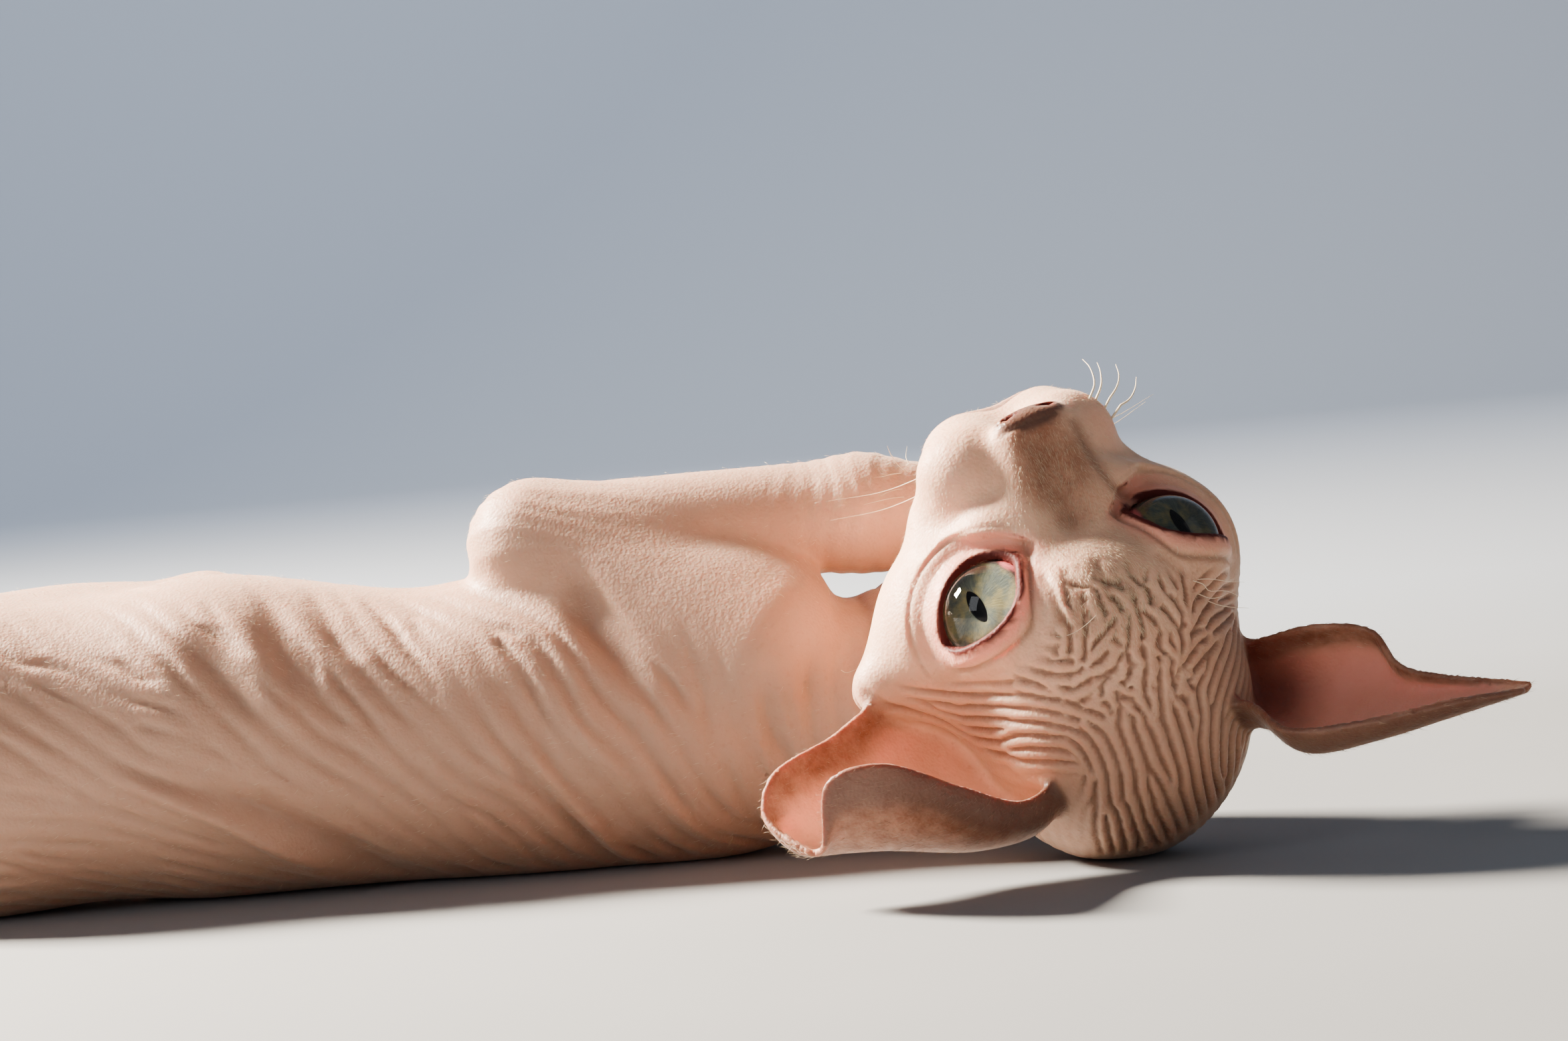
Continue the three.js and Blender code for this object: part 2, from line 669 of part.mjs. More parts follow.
const tailLine = new THREE.CatmullRomCurve3([
  point(-236, 46, 21), point(-262, 37, 12.5), point(-290, 43, 7.4), point(-308, 66, 5.4), point(-310, 96, 4.5),
  point(-299, 124, 3.7), point(-280, 146, 2.7),
]);
const tailRootRadius = 9.6;
const tailTipRadius = 2.7;
const tailNames = ["tail_base", "tail_middle", "tail_tip"];
const ringsPerLength = 12;

function tube(line, from, to, radiusAt, sides, rings) {
  const upward = point(0, 0, 1);
  const positions = [];
  const triangles = [];
  for (let ring = 0; ring <= rings; ring += 1) {
    const share = THREE.MathUtils.lerp(from, to, ring / rings);
    const tangent = line.getTangentAt(share);
    const sideways = new THREE.Vector3().crossVectors(upward, tangent).normalize();
    const over = new THREE.Vector3().crossVectors(tangent, sideways);
    for (let side = 0; side < sides; side += 1) {
      const angle = (2 * Math.PI * side) / sides;
      const place = line.getPointAt(share)
        .addScaledVector(sideways, radiusAt(share) * Math.cos(angle))
        .addScaledVector(over, radiusAt(share) * Math.sin(angle));
      positions.push(...place.toArray());
    }
  }
  for (let ring = 0; ring < rings; ring += 1) {
    for (let side = 0; side < sides; side += 1) {
      const here = ring * sides + side;
      const next = ring * sides + ((side + 1) % sides);
      triangles.push(here, next, next + sides, here, next + sides, here + sides);
    }
  }
  for (let side = 1; side < sides - 1; side += 1) {
    triangles.push(0, side + 1, side, rings * sides, rings * sides + side, rings * sides + side + 1);
  }
  return solidFrom(positions, triangles);
}

const tailRadiusAt = (share) => THREE.MathUtils.lerp(tailRootRadius, tailTipRadius, share ** 0.7);
const tailGap = gap / tailLine.getLength();
const tailRoot = 1 / tailNames.length;
const tailGrown = tube(tailLine, 0, tailRoot, (share) => tailRadiusAt(share) + gap, tailSides, ringsPerLength);
tailNames.forEach((name, length) => {
  const from = length / tailNames.length + (length ? tailGap / 2 : 0);
  const to = (length + 1) / tailNames.length - tailGap / 2;
  const whole = tube(tailLine, from, to, tailRadiusAt, tailSides, ringsPerLength).subtract(trunkGrown);
  cat.add(meshOf(name, restedOnFloor(largestBody(whole)), skin));
});

addLimb(forelegLeft, [trunkGrown, headInBody]);
addLimb(forelegRight, [trunkGrown, headInBody]);
addLimb(hindlegLeft, [trunkGrown]);
addLimb(hindlegRight, [trunkGrown, tailGrown]);

// The origin is brought to the middle of the footprint

cat.updateMatrixWorld(true);
const footprint = new THREE.Box3().setFromObject(cat, true);
const middle = footprint.getCenter(new THREE.Vector3());
cat.position.set(-middle.x, -middle.y, -footprint.min.z);

export default cat;
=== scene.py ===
# A hairless kitten lies on its right side, its head tipped back until it rests upside down.
import math

import bmesh
import bpy
import numpy as np
import openvdb
from mathutils import Matrix, Vector
from mathutils.bvhtree import BVHTree


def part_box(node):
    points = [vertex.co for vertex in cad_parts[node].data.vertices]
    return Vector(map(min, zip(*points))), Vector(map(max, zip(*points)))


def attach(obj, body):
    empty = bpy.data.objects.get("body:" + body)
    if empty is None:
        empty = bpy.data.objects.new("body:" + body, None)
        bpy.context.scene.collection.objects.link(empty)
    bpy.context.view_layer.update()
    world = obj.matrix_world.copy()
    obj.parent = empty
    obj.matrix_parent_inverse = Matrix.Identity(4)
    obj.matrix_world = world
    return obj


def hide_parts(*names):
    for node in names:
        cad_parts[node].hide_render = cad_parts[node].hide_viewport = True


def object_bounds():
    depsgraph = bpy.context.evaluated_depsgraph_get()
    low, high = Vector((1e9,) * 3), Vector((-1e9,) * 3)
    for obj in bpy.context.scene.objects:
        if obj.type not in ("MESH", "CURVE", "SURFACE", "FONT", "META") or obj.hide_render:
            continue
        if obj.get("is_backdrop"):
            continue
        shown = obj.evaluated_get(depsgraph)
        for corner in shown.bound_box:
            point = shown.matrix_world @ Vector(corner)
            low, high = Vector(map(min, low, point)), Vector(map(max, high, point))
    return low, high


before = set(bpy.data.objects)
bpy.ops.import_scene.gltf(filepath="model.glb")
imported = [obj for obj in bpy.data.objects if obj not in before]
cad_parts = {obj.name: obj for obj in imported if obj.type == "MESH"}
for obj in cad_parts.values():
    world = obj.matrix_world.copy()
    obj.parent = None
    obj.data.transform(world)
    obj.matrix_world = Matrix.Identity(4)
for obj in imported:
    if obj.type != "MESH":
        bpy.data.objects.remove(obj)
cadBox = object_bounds()
mm = 0.001
print("frame loaded")

# Where things are. Body places are in millimetres, as the kitten was measured, and bodyShift
# brings them to the frame's origin. The head has its own axes: x right, y to the nose, z crown.

head = {"height": 38.0, "pitch": 119.6, "roll": -14.4, "yaw": 10.8}
eye = {"radius": 10.3, "spread": 15.4, "forward": 14.4, "lift": 0.6,
       "corneaRadius": 9.0, "corneaForward": 2.6,
       "gazeLeft": (-0.634, 0.739, 0.229), "gazeRight": (0.566, 0.816, 0.116)}


def turnAbout(axis, degrees):
    return np.array(Matrix.Rotation(math.radians(degrees), 3, axis))


headAxes = turnAbout("Z", head["yaw"]) @ turnAbout("Y", head["roll"]) @ turnAbout("X", head["pitch"])
headCentre = np.array([0.0, 0.0, head["height"]])


def inScene(name, data):
    piece = bpy.data.objects.new(name, data)
    bpy.context.scene.collection.objects.link(piece)
    return piece


def toHead(places):
    return (places - headCentre) @ headAxes


def fromHead(places):
    return np.asarray(places, float) @ headAxes.T + headCentre


def unit(vector):
    vector = np.asarray(vector, float)
    return vector / np.linalg.norm(vector)


def ballCentre(node):
    # the back of an eye is a plain ball: its centre from the node's own corners
    low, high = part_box(node)
    middle = (np.array(low) + np.array(high)) / 2
    places = np.array([v.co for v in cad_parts[node].data.vertices])
    for again in range(3):
        away = np.linalg.norm(places - middle, axis=1)
        back = places[away < np.quantile(away, 0.6)]
        matrix = np.c_[2 * back, np.ones(len(back))]
        middle = np.linalg.lstsq(matrix, (back ** 2).sum(1), rcond=None)[0][:3]
    return middle / mm


eyeMiddle = (ballCentre("eye_left") + ballCentre("eye_right")) / 2
bodyShift = eyeMiddle - fromHead([0, eye["forward"], eye["lift"]])
print("body shift", bodyShift.round(2))


def toFrame(places):
    return (np.asarray(places, float) + bodyShift) * mm


# Camera

view = {"place": (-52.786, -627.894, 96.448), "down": 2.8, "roll": 5.0, "across": 25.0,
        "picture": (2361, 1568)}


def cameraAxes():
    pitch, roll = math.radians(view["down"]), math.radians(view["roll"])
    ahead = np.array([0, math.cos(pitch), -math.sin(pitch)])
    level = np.array([1.0, 0, 0])
    below = np.array([0, -math.sin(pitch), -math.cos(pitch)])
    right = math.cos(roll) * level + math.sin(roll) * below
    down = -math.sin(roll) * level + math.cos(roll) * below
    return right, down, ahead


def makeCamera():
    right, down, ahead = cameraAxes()
    camera = inScene("camera", bpy.data.cameras.new("camera"))
    camera.data.sensor_fit = "HORIZONTAL"
    camera.data.angle = math.radians(view["across"])
    camera.data.clip_start = 0.01
    matrix = Matrix.Identity(4)
    for row in range(3):
        matrix[row][0], matrix[row][1], matrix[row][2] = right[row], -down[row], -ahead[row]
    matrix.translation = Vector(toFrame(view["place"]))
    camera.matrix_world = matrix
    bpy.context.scene.camera = camera


def lens():
    # the middle of the picture in pixels, and how many pixels ahead of the camera it would stand
    width, height = view["picture"]
    return width / 2, height / 2, width / 2 / math.tan(math.radians(view["across"] / 2))


def sightLine(across, down):
    # the line from the camera through a pixel of the photograph, in body places
    right, below, ahead = cameraAxes()
    middle, level, focal = lens()
    return unit(right * (across - middle) / focal + below * (down - level) / focal + ahead)


def onPicture(places):
    # the pixel of the photograph on which each body place falls
    right, below, ahead = cameraAxes()
    middle, level, focal = lens()
    away = places - np.array(view["place"])
    depth = away @ ahead
    return np.c_[middle + away @ right / depth * focal, level + away @ below / depth * focal]


makeCamera()

# Rounded masses, each a function that gives the distance of places from its surface


def ellipsoid(centre, radii, turn=None):
    centre, radii = np.array(centre, np.float32), np.array(radii, np.float32)

    def distance(places):
        local = places - centre
        if turn is not None:
            local = local @ turn
        scaled = np.sqrt(((local / radii) ** 2).sum(1))
        slope = np.sqrt(((local / radii ** 2) ** 2).sum(1)) + 1e-6
        return scaled * (scaled - 1) / slope

    return distance


def ball(centre, radius):
    centre = np.array(centre, np.float32)
    return lambda places: np.sqrt(((places - centre) ** 2).sum(1)) - radius


def taper(start, end, startRadius, endRadius):
    start, end = np.array(start, np.float32), np.array(end, np.float32)
    axis = end - start
    span = float(axis @ axis)
    narrowing = startRadius - endRadius
    side = span - narrowing * narrowing

    def distance(places):
        away = places - start
        along = away @ axis
        beyond = along - span
        across = ((away * span - along[:, None] * axis) ** 2).sum(1)
        alongSquared, beyondSquared = along ** 2 * span, beyond ** 2 * span
        edge = np.sign(narrowing) * narrowing * narrowing * across
        answer = (np.sqrt(across * side / span) + along * narrowing) / span - startRadius
        low = np.sign(along) * side * alongSquared < edge
        answer[low] = np.sqrt(across[low] + alongSquared[low]) / span - startRadius
        high = np.sign(beyond) * side * beyondSquared > edge
        answer[high] = np.sqrt(across[high] + beyondSquared[high]) / span - endRadius
        return answer

    return distance


def chain(line, radii):
    # a round cord along a line of points, with its radius at each
    steps = [taper(*step) for step in zip(line[:-1], line[1:], radii[:-1], radii[1:])]
    return lambda places: np.min([step(places) for step in steps], axis=0)


def softMin(first, second, softness):
    overlap = np.maximum(softness - np.abs(first - second), 0) / softness
    return np.minimum(first, second) - overlap * overlap * softness / 4


def softMax(first, second, softness):
    return -softMin(-first, -second, softness)


def blend(softness, *fields):
    def distance(places):
        nearest = fields[0](places)
        for field in fields[1:]:
            nearest = softMin(nearest, field(places), softness)
        return nearest

    return distance


def pair(make):
    return [make(-1), make(1)]


def smooth(value, low, high):
    share = np.clip((value - low) / (high - low), 0, 1)
    return share * share * (3 - 2 * share)


def hump(away, width):
    # 1 where nothing lies between, fading over the width
    return np.exp(-(away / width) ** 2)


def curveThrough(points, steps):
    # a Catmull-Rom curve through given points
    points = np.array(points, float)
    ends = np.vstack([2 * points[0] - points[1], points, 2 * points[-1] - points[-2]])
    at = np.linspace(0, len(points) - 1, steps)
    first = np.minimum(at.astype(int), len(points) - 2)
    share = (at - first)[:, None]
    a, b, c, d = (ends[first + offset] for offset in range(4))
    return 0.5 * (2 * b + (c - a) * share + (2 * a - 5 * b + 4 * c - d) * share ** 2
                  + (3 * b - a - 3 * c + d) * share ** 3)


# Head

face = {"sag": -1.6, "nose": (1.3, 39.6, -16.2), "lidReach": 11.8, "lidsEnd": 14.6, "flareFrom": 11.9,
        "flare": 1.25, "flareTo": 16.5, "flareSoft": 2.6, "socket": 24, "socketGap": 0.12, "mouthDrop": 3.4,
        "grooves": {"philtrum": 0.5, "nostril": 0.75}}
lidLine = [(9.8, -1.4), (8.2, -4.8), (5.2, -6.8), (1.4, -6.6), (-2.6, -5), (-6.4, -2.6),
           (-9.7, 0.6), (-7.8, 4.8), (-3.2, 7.8), (1.8, 8.4), (6.2, 6.4), (8.8, 2.8)]
lidRaise = {-1: 0.0, 1: -1.2}


def eyeCentre(side):
    return np.array([side * eye["spread"], eye["forward"], eye["lift"]])


def lidAxes(side):
    # toward the nose, up and outward from the eye
    outward = unit((side * 0.56, 0.81, 0.13))
    upward = unit(np.array([0, 0, 1.0]) - outward[2] * outward)
    return side * np.cross(upward, outward), upward, outward


def lidEdge(side):
    # the edge of the lids as arcs on their ball; the right eye's upper lid hangs a little lower
    droop = 0.16 if side > 0 else 0
    corners = [(x, y + lidRaise[side] - droop * max(y, 0) * (1 - x / 14)) for x, y in lidLine]
    loop = curveThrough(corners[-1:] + corners + corners[:1] + corners[1:2], 15 * 6)[6:-7]
    flat = np.linalg.norm(loop, axis=1, keepdims=True)
    return loop / flat * face["lidReach"] * np.arcsin(np.minimum(flat / face["lidReach"], 0.98))


def skullFields():
    sag = face["sag"]
    nose = np.array(face["nose"])
    skull = blend(
        9,
        ellipsoid((0, -9.5, 5), (25.5, 30.5, 23)),
        ellipsoid((0, 10.5, 5.5), (18, 15.5, 12.5)),
        *pair(lambda side: ellipsoid((side * 16.5, 3, -7), (14, 16, 12))),
        *pair(lambda side: ellipsoid((side * 17.9 + sag, 7.4, -15.5), (13.4, 15, 12))),
        *pair(lambda side: taper((side * 12, 25, -9), (side * 22.5 + sag / 2, 10, -8), 5.4, 8)),
        taper((-26, 1, -11), (-37.5, 2, -8.5), 9.5, 5))
    bridge = blend(3, *pair(lambda side: taper(
        (side * 5, 22.5, -4.4), (nose[0] + side * 3.4, nose[1] - 3.2, nose[2] + 0.9), 5.8, 4.6)))
    corners = pair(lambda side: ball((side * 13.8 + sag, 21.8, -21.6), 7.2))
    pads = pair(lambda side: ellipsoid((side * 8.6 + sag * 0.7, 30.2, -20.8), (10.1, 9.5, 9)))
    upper = blend(3.5, blend(6, skull, bridge, *corners), *pads)
    jaw = blend(
        7,
        *pair(lambda side: ball((side * 7 + sag / 2, 28.8, -26.8), 8.9)),
        *pair(lambda side: taper((side * 16 + sag, -4, -20), (side * 11 + sag, 18, -25.2), 8, 7.6)),
        ellipsoid((sag, 11, -22), (13, 16, 9)))
    tip = blend(
        2.5,
        ellipsoid(nose, (5.4, 2.8, 3.4)),
        *pair(lambda side: ball(nose + (side * 4.4, -1.3, -0.2), 2.7)))
    return upper, jaw, tip


upperHead, jawForm, noseTip = skullFields()
lidCentres = {side: eyeCentre(side) + 0.4 * lidAxes(side)[2] for side in (-1, 1)}
lidLoops = {side: lidEdge(side) for side in (-1, 1)}


def insideLoop(loop, x, y):
    # signed distance to a closed line, negative inside it
    start, end = loop, np.roll(loop, -1, axis=0)
    edge = end - start
    px, py = x[:, None] - start[:, 0], y[:, None] - start[:, 1]
    share = np.clip((px * edge[:, 0] + py * edge[:, 1]) / (edge ** 2).sum(1), 0, 1)
    away = np.sqrt(((px - share * edge[:, 0]) ** 2 + (py - share * edge[:, 1]) ** 2).min(1))
    crosses = (start[:, 1] > y[:, None]) != (end[:, 1] > y[:, None])
    with np.errstate(divide="ignore", invalid="ignore"):
        meet = start[:, 0] + (y[:, None] - start[:, 1]) * edge[:, 0] / edge[:, 1]
    inside = (crosses & (x[:, None] < meet)).sum(1) % 2 == 1
    return np.where(inside, -away, away)


def lidPlace(side, places):
    # distance from the edge of the lids along the lid's own ball, and place in the lid's axes
    inward, upward, outward = lidAxes(side)
    local = places - eyeCentre(side)
    away = np.sqrt((local ** 2).sum(1)) + 1e-6
    x, y, w = local @ inward, local @ upward, local @ outward
    flat = np.sqrt(x * x + y * y) + 1e-6
    arc = face["lidReach"] * np.arctan2(flat, w) / flat
    return insideLoop(lidLoops[side], x * arc, y * arc), x * arc, y * arc, w, away


def headField(places):
    local = toHead(places).astype(np.float32)
    whole = upperHead(local)
    for side in (-1, 1):
        lid = ball(lidCentres[side], face["lidReach"])(local)
        whole = softMax(whole, -(lid - 0.3), 3)
    for side in (-1, 1):
        whole = softMin(whole, ball(lidCentres[side], face["lidReach"])(local), 3)
    whole = softMin(whole, noseTip(local), 1.2)
    whole = softMin(whole, jawForm(local), 2)
    whole = carveFace(local, whole)
    for side in (-1, 1):
        near = ((local - eyeCentre(side)) ** 2).sum(1) < face["socket"] ** 2
        if near.any():
            edge, x, y, w, away = lidPlace(side, local[near])
            # the opening widens outward, so that cheek and bridge slope down to the lids
            widest = 2.5 - 1.5 * smooth(x, 1, 8)
            cut = np.maximum(edge, -2.5) - np.clip(face["flare"] * (away - face["flareFrom"]), 0, widest)
            cut = cut + 2 * np.maximum(away - face["flareTo"] + 2.6 * smooth(x, 2, 8), 0)
            soft = 0.8 + face["flareSoft"] * smooth(away, face["flareFrom"], face["flareFrom"] + 3)
            whole[near] = softMax(whole[near], -cut, soft)
            pit = np.maximum(away - eye["radius"] - face["socketGap"], 3 - w)
            whole[near] = np.maximum(whole[near], -pit)
    return whole


nose = np.array(face["nose"])
nostrilLine = [(2.0, 3.0, -1.4), (3.9, 1.9, -1.0), (5.4, -0.4, -0.5), (6.2, -2.0, 0.4)]
philtrumLine = [nose + (0, 2.4, -2.6), (0.3, 40.4, -22), (-0.3, 38.8, -26)]
philtrum = chain(philtrumLine, [face["grooves"]["philtrum"]] * 3)
nostrils = {side: chain([nose + (side * x, y, z) for x, y, z in nostrilLine],
                        [face["grooves"]["nostril"]] * 4) for side in (-1, 1)}


def carveFace(local, whole):
    near = local[:, 1] > 14
    places = local[near]
    part = whole[near]
    for cut, soft in [(philtrum, 0.6), (nostrils[-1], 0.4), (nostrils[1], 0.4)]:
        part = softMax(part, -cut(places), soft)
    whole[near] = part
    return whole


# Ears: a cup between two edge curves, its hollow back bulging away from the opening

ears = {
    "ear_right": {
        "inner": [(12, -8, 15), (18, -3, 25), (20, -1.5, 37), (30, 1.5, 45.5), (45, 2.5, 50),
                  (58, -0.5, 50.5)],
        "outer": [(21, -8, 2), (28, -4, 9), (36, -0.5, 15), (44, -1, 21), (46, -4, 31), (61, -2.5, 47.5)],
        "back": (0.35, -1, -0.05), "depth": [9, 13, 14, 11, 6.5, 0.8], "pink": 0.8},
    "ear_left": {
        "inner": [(-13, -9, 17), (-25, -5.5, 25), (-36, 5, 28), (-48, 15.5, 28), (-58, 14.5, 26),
                  (-61.5, 3.5, 27.5)],
        "outer": [(-24, -4, -9), (-37.5, 1.5, -6.5), (-50, 3.5, 1), (-63, 6.5, 8.5), (-67.5, 2.5, 14),
                  (-63.5, 1, 25)],
        "back": (0.3, -1, 0.35), "depth": [9, 14, 18.5, 17.5, 11, 1], "pink": 0.06},
}
earMake = {"steps": 56, "wall": 1.7, "rim": 1.1, "grain": 0.4, "reach": 3.2, "margin": 10}


def earSheet(shape):
    steps = earMake["steps"]
    inner = curveThrough(shape["inner"], steps + 1)[:, None]
    outer = curveThrough(shape["outer"], steps + 1)[:, None]
    depth = curveThrough([(d, 0) for d in shape["depth"]], steps + 1)[:, None, :1]
    sweep = np.linspace(0, math.pi, steps + 1)[None, :, None]
    share = (1 - np.cos(sweep)) / 2
    bulge = np.sin(sweep).clip(0, 1) ** 0.85
    return inner * (1 - share) + outer * share + unit(shape["back"]) * depth * bulge


def gridQuads(steps):
    # the four knots round each cell of a square grid
    row, column = np.mgrid[0:steps, 0:steps]
    near = (row * (steps + 1) + column).ravel()
    return np.c_[near, near + 1, near + steps + 2, near + steps + 1]


def earField(shape):
    # the sheet is given its thickness, turned into a grid of distances and read back from it
    sheet = earSheet(shape)
    steps, grain, reach = earMake["steps"], earMake["grain"], earMake["reach"]
    normal = np.cross(np.gradient(sheet, axis=0), np.gradient(sheet, axis=1))
    normal /= np.linalg.norm(normal, axis=2, keepdims=True) + 1e-9
    u = np.linspace(0, 1, steps + 1)
    nearEdge = np.maximum(np.abs(2 * u[None, :] - 1) ** 4, u[:, None] ** 2)[..., None]
    half = (earMake["wall"] * (1 - nearEdge) + earMake["rim"] * nearEdge) / 2
    count = (steps + 1) ** 2
    points = np.vstack([(sheet + normal * half).reshape(-1, 3), (sheet - normal * half).reshape(-1, 3)])
    front = gridQuads(steps)
    back = front[:, ::-1] + count
    knots = np.arange(count).reshape(steps + 1, steps + 1)
    ring = np.concatenate([knots[0, :-1], knots[:-1, -1], knots[-1, :0:-1], knots[:0:-1, 0]])
    after = np.roll(ring, -1)
    border = np.c_[after, ring, ring + count, after + count]
    quads = np.vstack([front, back, border])
    grid = openvdb.FloatGrid.createLevelSetFromPolygons(
        points.astype(np.float32), quads=quads.astype(np.uint32),
        transform=openvdb.createLinearTransform(voxelSize=grain), halfWidth=reach / grain)
    low = np.floor(points.min(0) / grain).astype(int) - earMake["margin"]
    size = np.ceil(points.max(0) / grain).astype(int) + earMake["margin"] - low
    values = np.full(tuple(size), reach, np.float32)
    grid.copyToArray(values, ijk=tuple(int(v) for v in low))
    return lambda places: readGrid(values, places / grain - low, reach)


def readGrid(values, at, outside):
    # the eight values round each place, weighed by nearness
    top = np.array(values.shape) - 2
    inside = ((at >= 0) & (at <= top)).all(1)
    answer = np.full(len(at), outside, np.float32)
    base = at[inside].astype(int)
    share = at[inside] - base
    total = 0
    for corner in range(8):
        step = np.array([corner & 1, corner >> 1 & 1, corner >> 2])
        weight = np.where(step, share, 1 - share).prod(1)
        total = total + weight * values[tuple((base + step).T)]
    answer[inside] = total
    return answer


earFields = {name: earField(shape) for name, shape in ears.items()}
print("ears laid out")

# Trunk, limbs and tail

trunk = {"spineY": 56, "chestDepth": 60, "bellyDepth": 63, "hipDepth": 62, "footing": 0.9}


def trunkField():
    y, foot = trunk["spineY"], trunk["footing"]
    chest, belly, hip = trunk["chestDepth"] / 2, trunk["bellyDepth"] / 2, trunk["hipDepth"] / 2
    return blend(
        14,
        ellipsoid((-88, y - 2, chest - foot), (40, 28, chest)),
        ellipsoid((-124, y, 27.5), (42, 28, 28)),
        ellipsoid((-166, y + 2, belly - foot), (42, 31, belly)),
        ellipsoid((-212, y + 1, hip - foot), (38, 29, hip)),
        taper((-66, y - 4, 26.5), (-24, 42, 25), 24, 19),
        taper((-24, 42, 25), (2, 26, 27), 19, 17),
        ellipsoid((-22, 42, 32), (16, 13, 12)),
        ellipsoid((-15, 43, 43), (15, 9, 7)))


limbs = {
    "foreleg_left": {
        "joints": [(-58, 37, 40), (-101, 51, 62.6), (-38, 49, 63.6), (-14, 47, 62)],
        "radii": [16, 12, 10.6, 7.4],
        "muscle": ((-70, 40, 42), (24, 11, 15), -22), "down": (0.1, 0, -1)},
    "foreleg_right": {
        "joints": [(-62, 74, 26), (-110, 90, 24), (-48, 114, 12), (-24, 121, 7.6)],
        "radii": [14, 11, 8, 6.6],
        "muscle": ((-76, 78, 27), (24, 11, 15), 0), "down": (0, 0, -1)},
    "hindleg_left": {
        "joints": [(-222, 60, 40), (-170, 79, 47.5), (-218, 122, 20), (-186, 144, 9.6)],
        "radii": [19, 13.5, 8.5, 7],
        "muscle": ((-202, 71, 40), (35, 16, 21), -8), "down": (0, 0, -1)},
    "hindleg_right": {
        "joints": [(-226, 62, 21), (-262, 112, 13), (-236, 170, 9.4), (-200, 184, 7.6)],
        "radii": [19, 12, 8, 7],
        "muscle": ((-236, 76, 20), (24, 30, 20), 0), "down": (0, 0, -1)},
}
paws = {"toes": 4, "reach": 16.5, "shorter": 1.6, "apart": 5.5,
        "claw": 3.0, "clawAhead": 2.3, "clawDown": 1.6}


def pawPlaces(limb):
    # a function that gives places in the paw's own directions: ahead, across and down
    wrist, before = np.array(limb["joints"][3], float), np.array(limb["joints"][2], float)
    along = unit((wrist - before) * (1, 1, 0))
    down = unit(limb["down"])
    across = np.cross(along, down)
    return lambda ahead, side, drop: wrist + along * ahead + across * side + down * drop


def toeEnds():
    # for each toe how far it stands aside, in toe widths, and how far ahead it ends
    for toe in range(paws["toes"]):
        aside = toe - (paws["toes"] - 1) / 2
        yield aside, paws["reach"] - paws["shorter"] * abs(aside) ** 1.5


def limbField(limb):
    root, elbow, wrist, paw = limb["joints"]
    radii = limb["radii"]
    centre, size, turn = limb["muscle"]
    palm = taper(wrist, paw, radii[2] * 0.95, radii[3])
    leg = blend(
        5,
        taper(root, elbow, radii[0], radii[1]),
        taper(elbow, wrist, radii[1] * 0.94, radii[2]),
        palm,
        ellipsoid(centre, size, turnAbout("Y", turn)))
    at = pawPlaces(limb)
    toes = []
    for aside, reach in toeEnds():
        knuckle, tip = at(reach - 6, aside * 5, -0.4), at(reach, aside * paws["apart"], 2.4)
        first = taper(at(4, aside * 3.2, 0.2), knuckle, 3.7, 3.6)
        toes.append(blend(1.2, first, taper(knuckle, tip, 3.6, 3.3)))
    foot = blend(2, palm, taper(paw, at(6, 0, 0), radii[3], 6.2))
    return blend(2, leg, blend(1.6, foot, blend(0.7, *toes)), ellipsoid(at(6.5, 0, 4.4), (4, 5, 2.2)))


tail = {"line": [(-236, 46, 21), (-262, 37, 12.5), (-290, 43, 7.4), (-308, 66, 5.4), (-310, 96, 4.5),
                 (-299, 124, 3.7), (-280, 146, 2.7)], "root": 9.6, "tip": 2.7, "steps": 18}


def tailField():
    line = curveThrough(tail["line"], tail["steps"] + 1)
    share = np.linspace(0, 1, tail["steps"] + 1) ** 0.7
    return chain(line, tail["root"] * (1 - share) + tail["tip"] * share)


bodyFields = {"trunk": trunkField(), "tail": tailField()}
for name, limb in limbs.items():
    bodyFields[name] = limbField(limb)


def reachOf(name):
    # the box round each form, so that far places need not be measured
    nodes = {"trunk": ["neck", "chest", "belly", "rump"], "tail": ["tail_base", "tail_middle", "tail_tip"],
             "head": ["head", "lower_jaw", "nose"], "ear_left": ["ear_left"], "ear_right": ["ear_right"]}
    names = nodes.get(name) or [name + part for part in ("_upper", "_lower", "_foot", "_paw")]
    boxes = [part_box(node) for node in names]
    low = np.min([np.array(b[0]) for b in boxes], axis=0) / mm - bodyShift
    high = np.max([np.array(b[1]) for b in boxes], axis=0) / mm - bodyShift
    return low, high


formBoxes = {name: reachOf(name) for name in ["trunk", "tail", "head", "ear_left", "ear_right", *limbs]}


def farFrom(name, places):
    low, high = formBoxes[name]
    return np.sqrt((np.maximum(np.maximum(low - places, places - high), 0) ** 2).sum(1))


def measured(name, places, field):
    # the form's own distance near its box, and the distance of the box farther off
    away = farFrom(name, places)
    answer = (away + 4).astype(np.float32)
    near = away < 16
    if near.any():
        answer[near] = field(places[near])
    return answer


def formAway(name, places):
    return measured(name, np.asarray(places, np.float32), bodyFields[name])


# how softly each form runs into the trunk, the ears into the head, the head into the neck, and the
# body into the plane it lies on
joins = {"tail": 7, "hindleg_left": 6, "hindleg_right": 6, "foreleg_right": 6, "foreleg_left": 4}
earJoin, headJoin, floorJoin = 2.4, 2.5, 0.8


def bodyField(places):
    places = np.asarray(places, np.float32)
    whole = formAway("trunk", places)
    for name, softness in joins.items():
        whole = softMin(whole, formAway(name, places), softness)
    skull = measured("head", places, headField)
    for name in ears:
        ear = measured(name, places, lambda p, ear=earFields[name]: ear(toHead(p)))
        skull = softMin(skull, np.minimum(ear, earMake["reach"]), earJoin)
    whole = softMin(whole, skull, headJoin)
    return softMax(whole, -places[:, 2], floorJoin)


# The skin: one closed net drawn over all the forms, fine on the face and coarser far from it

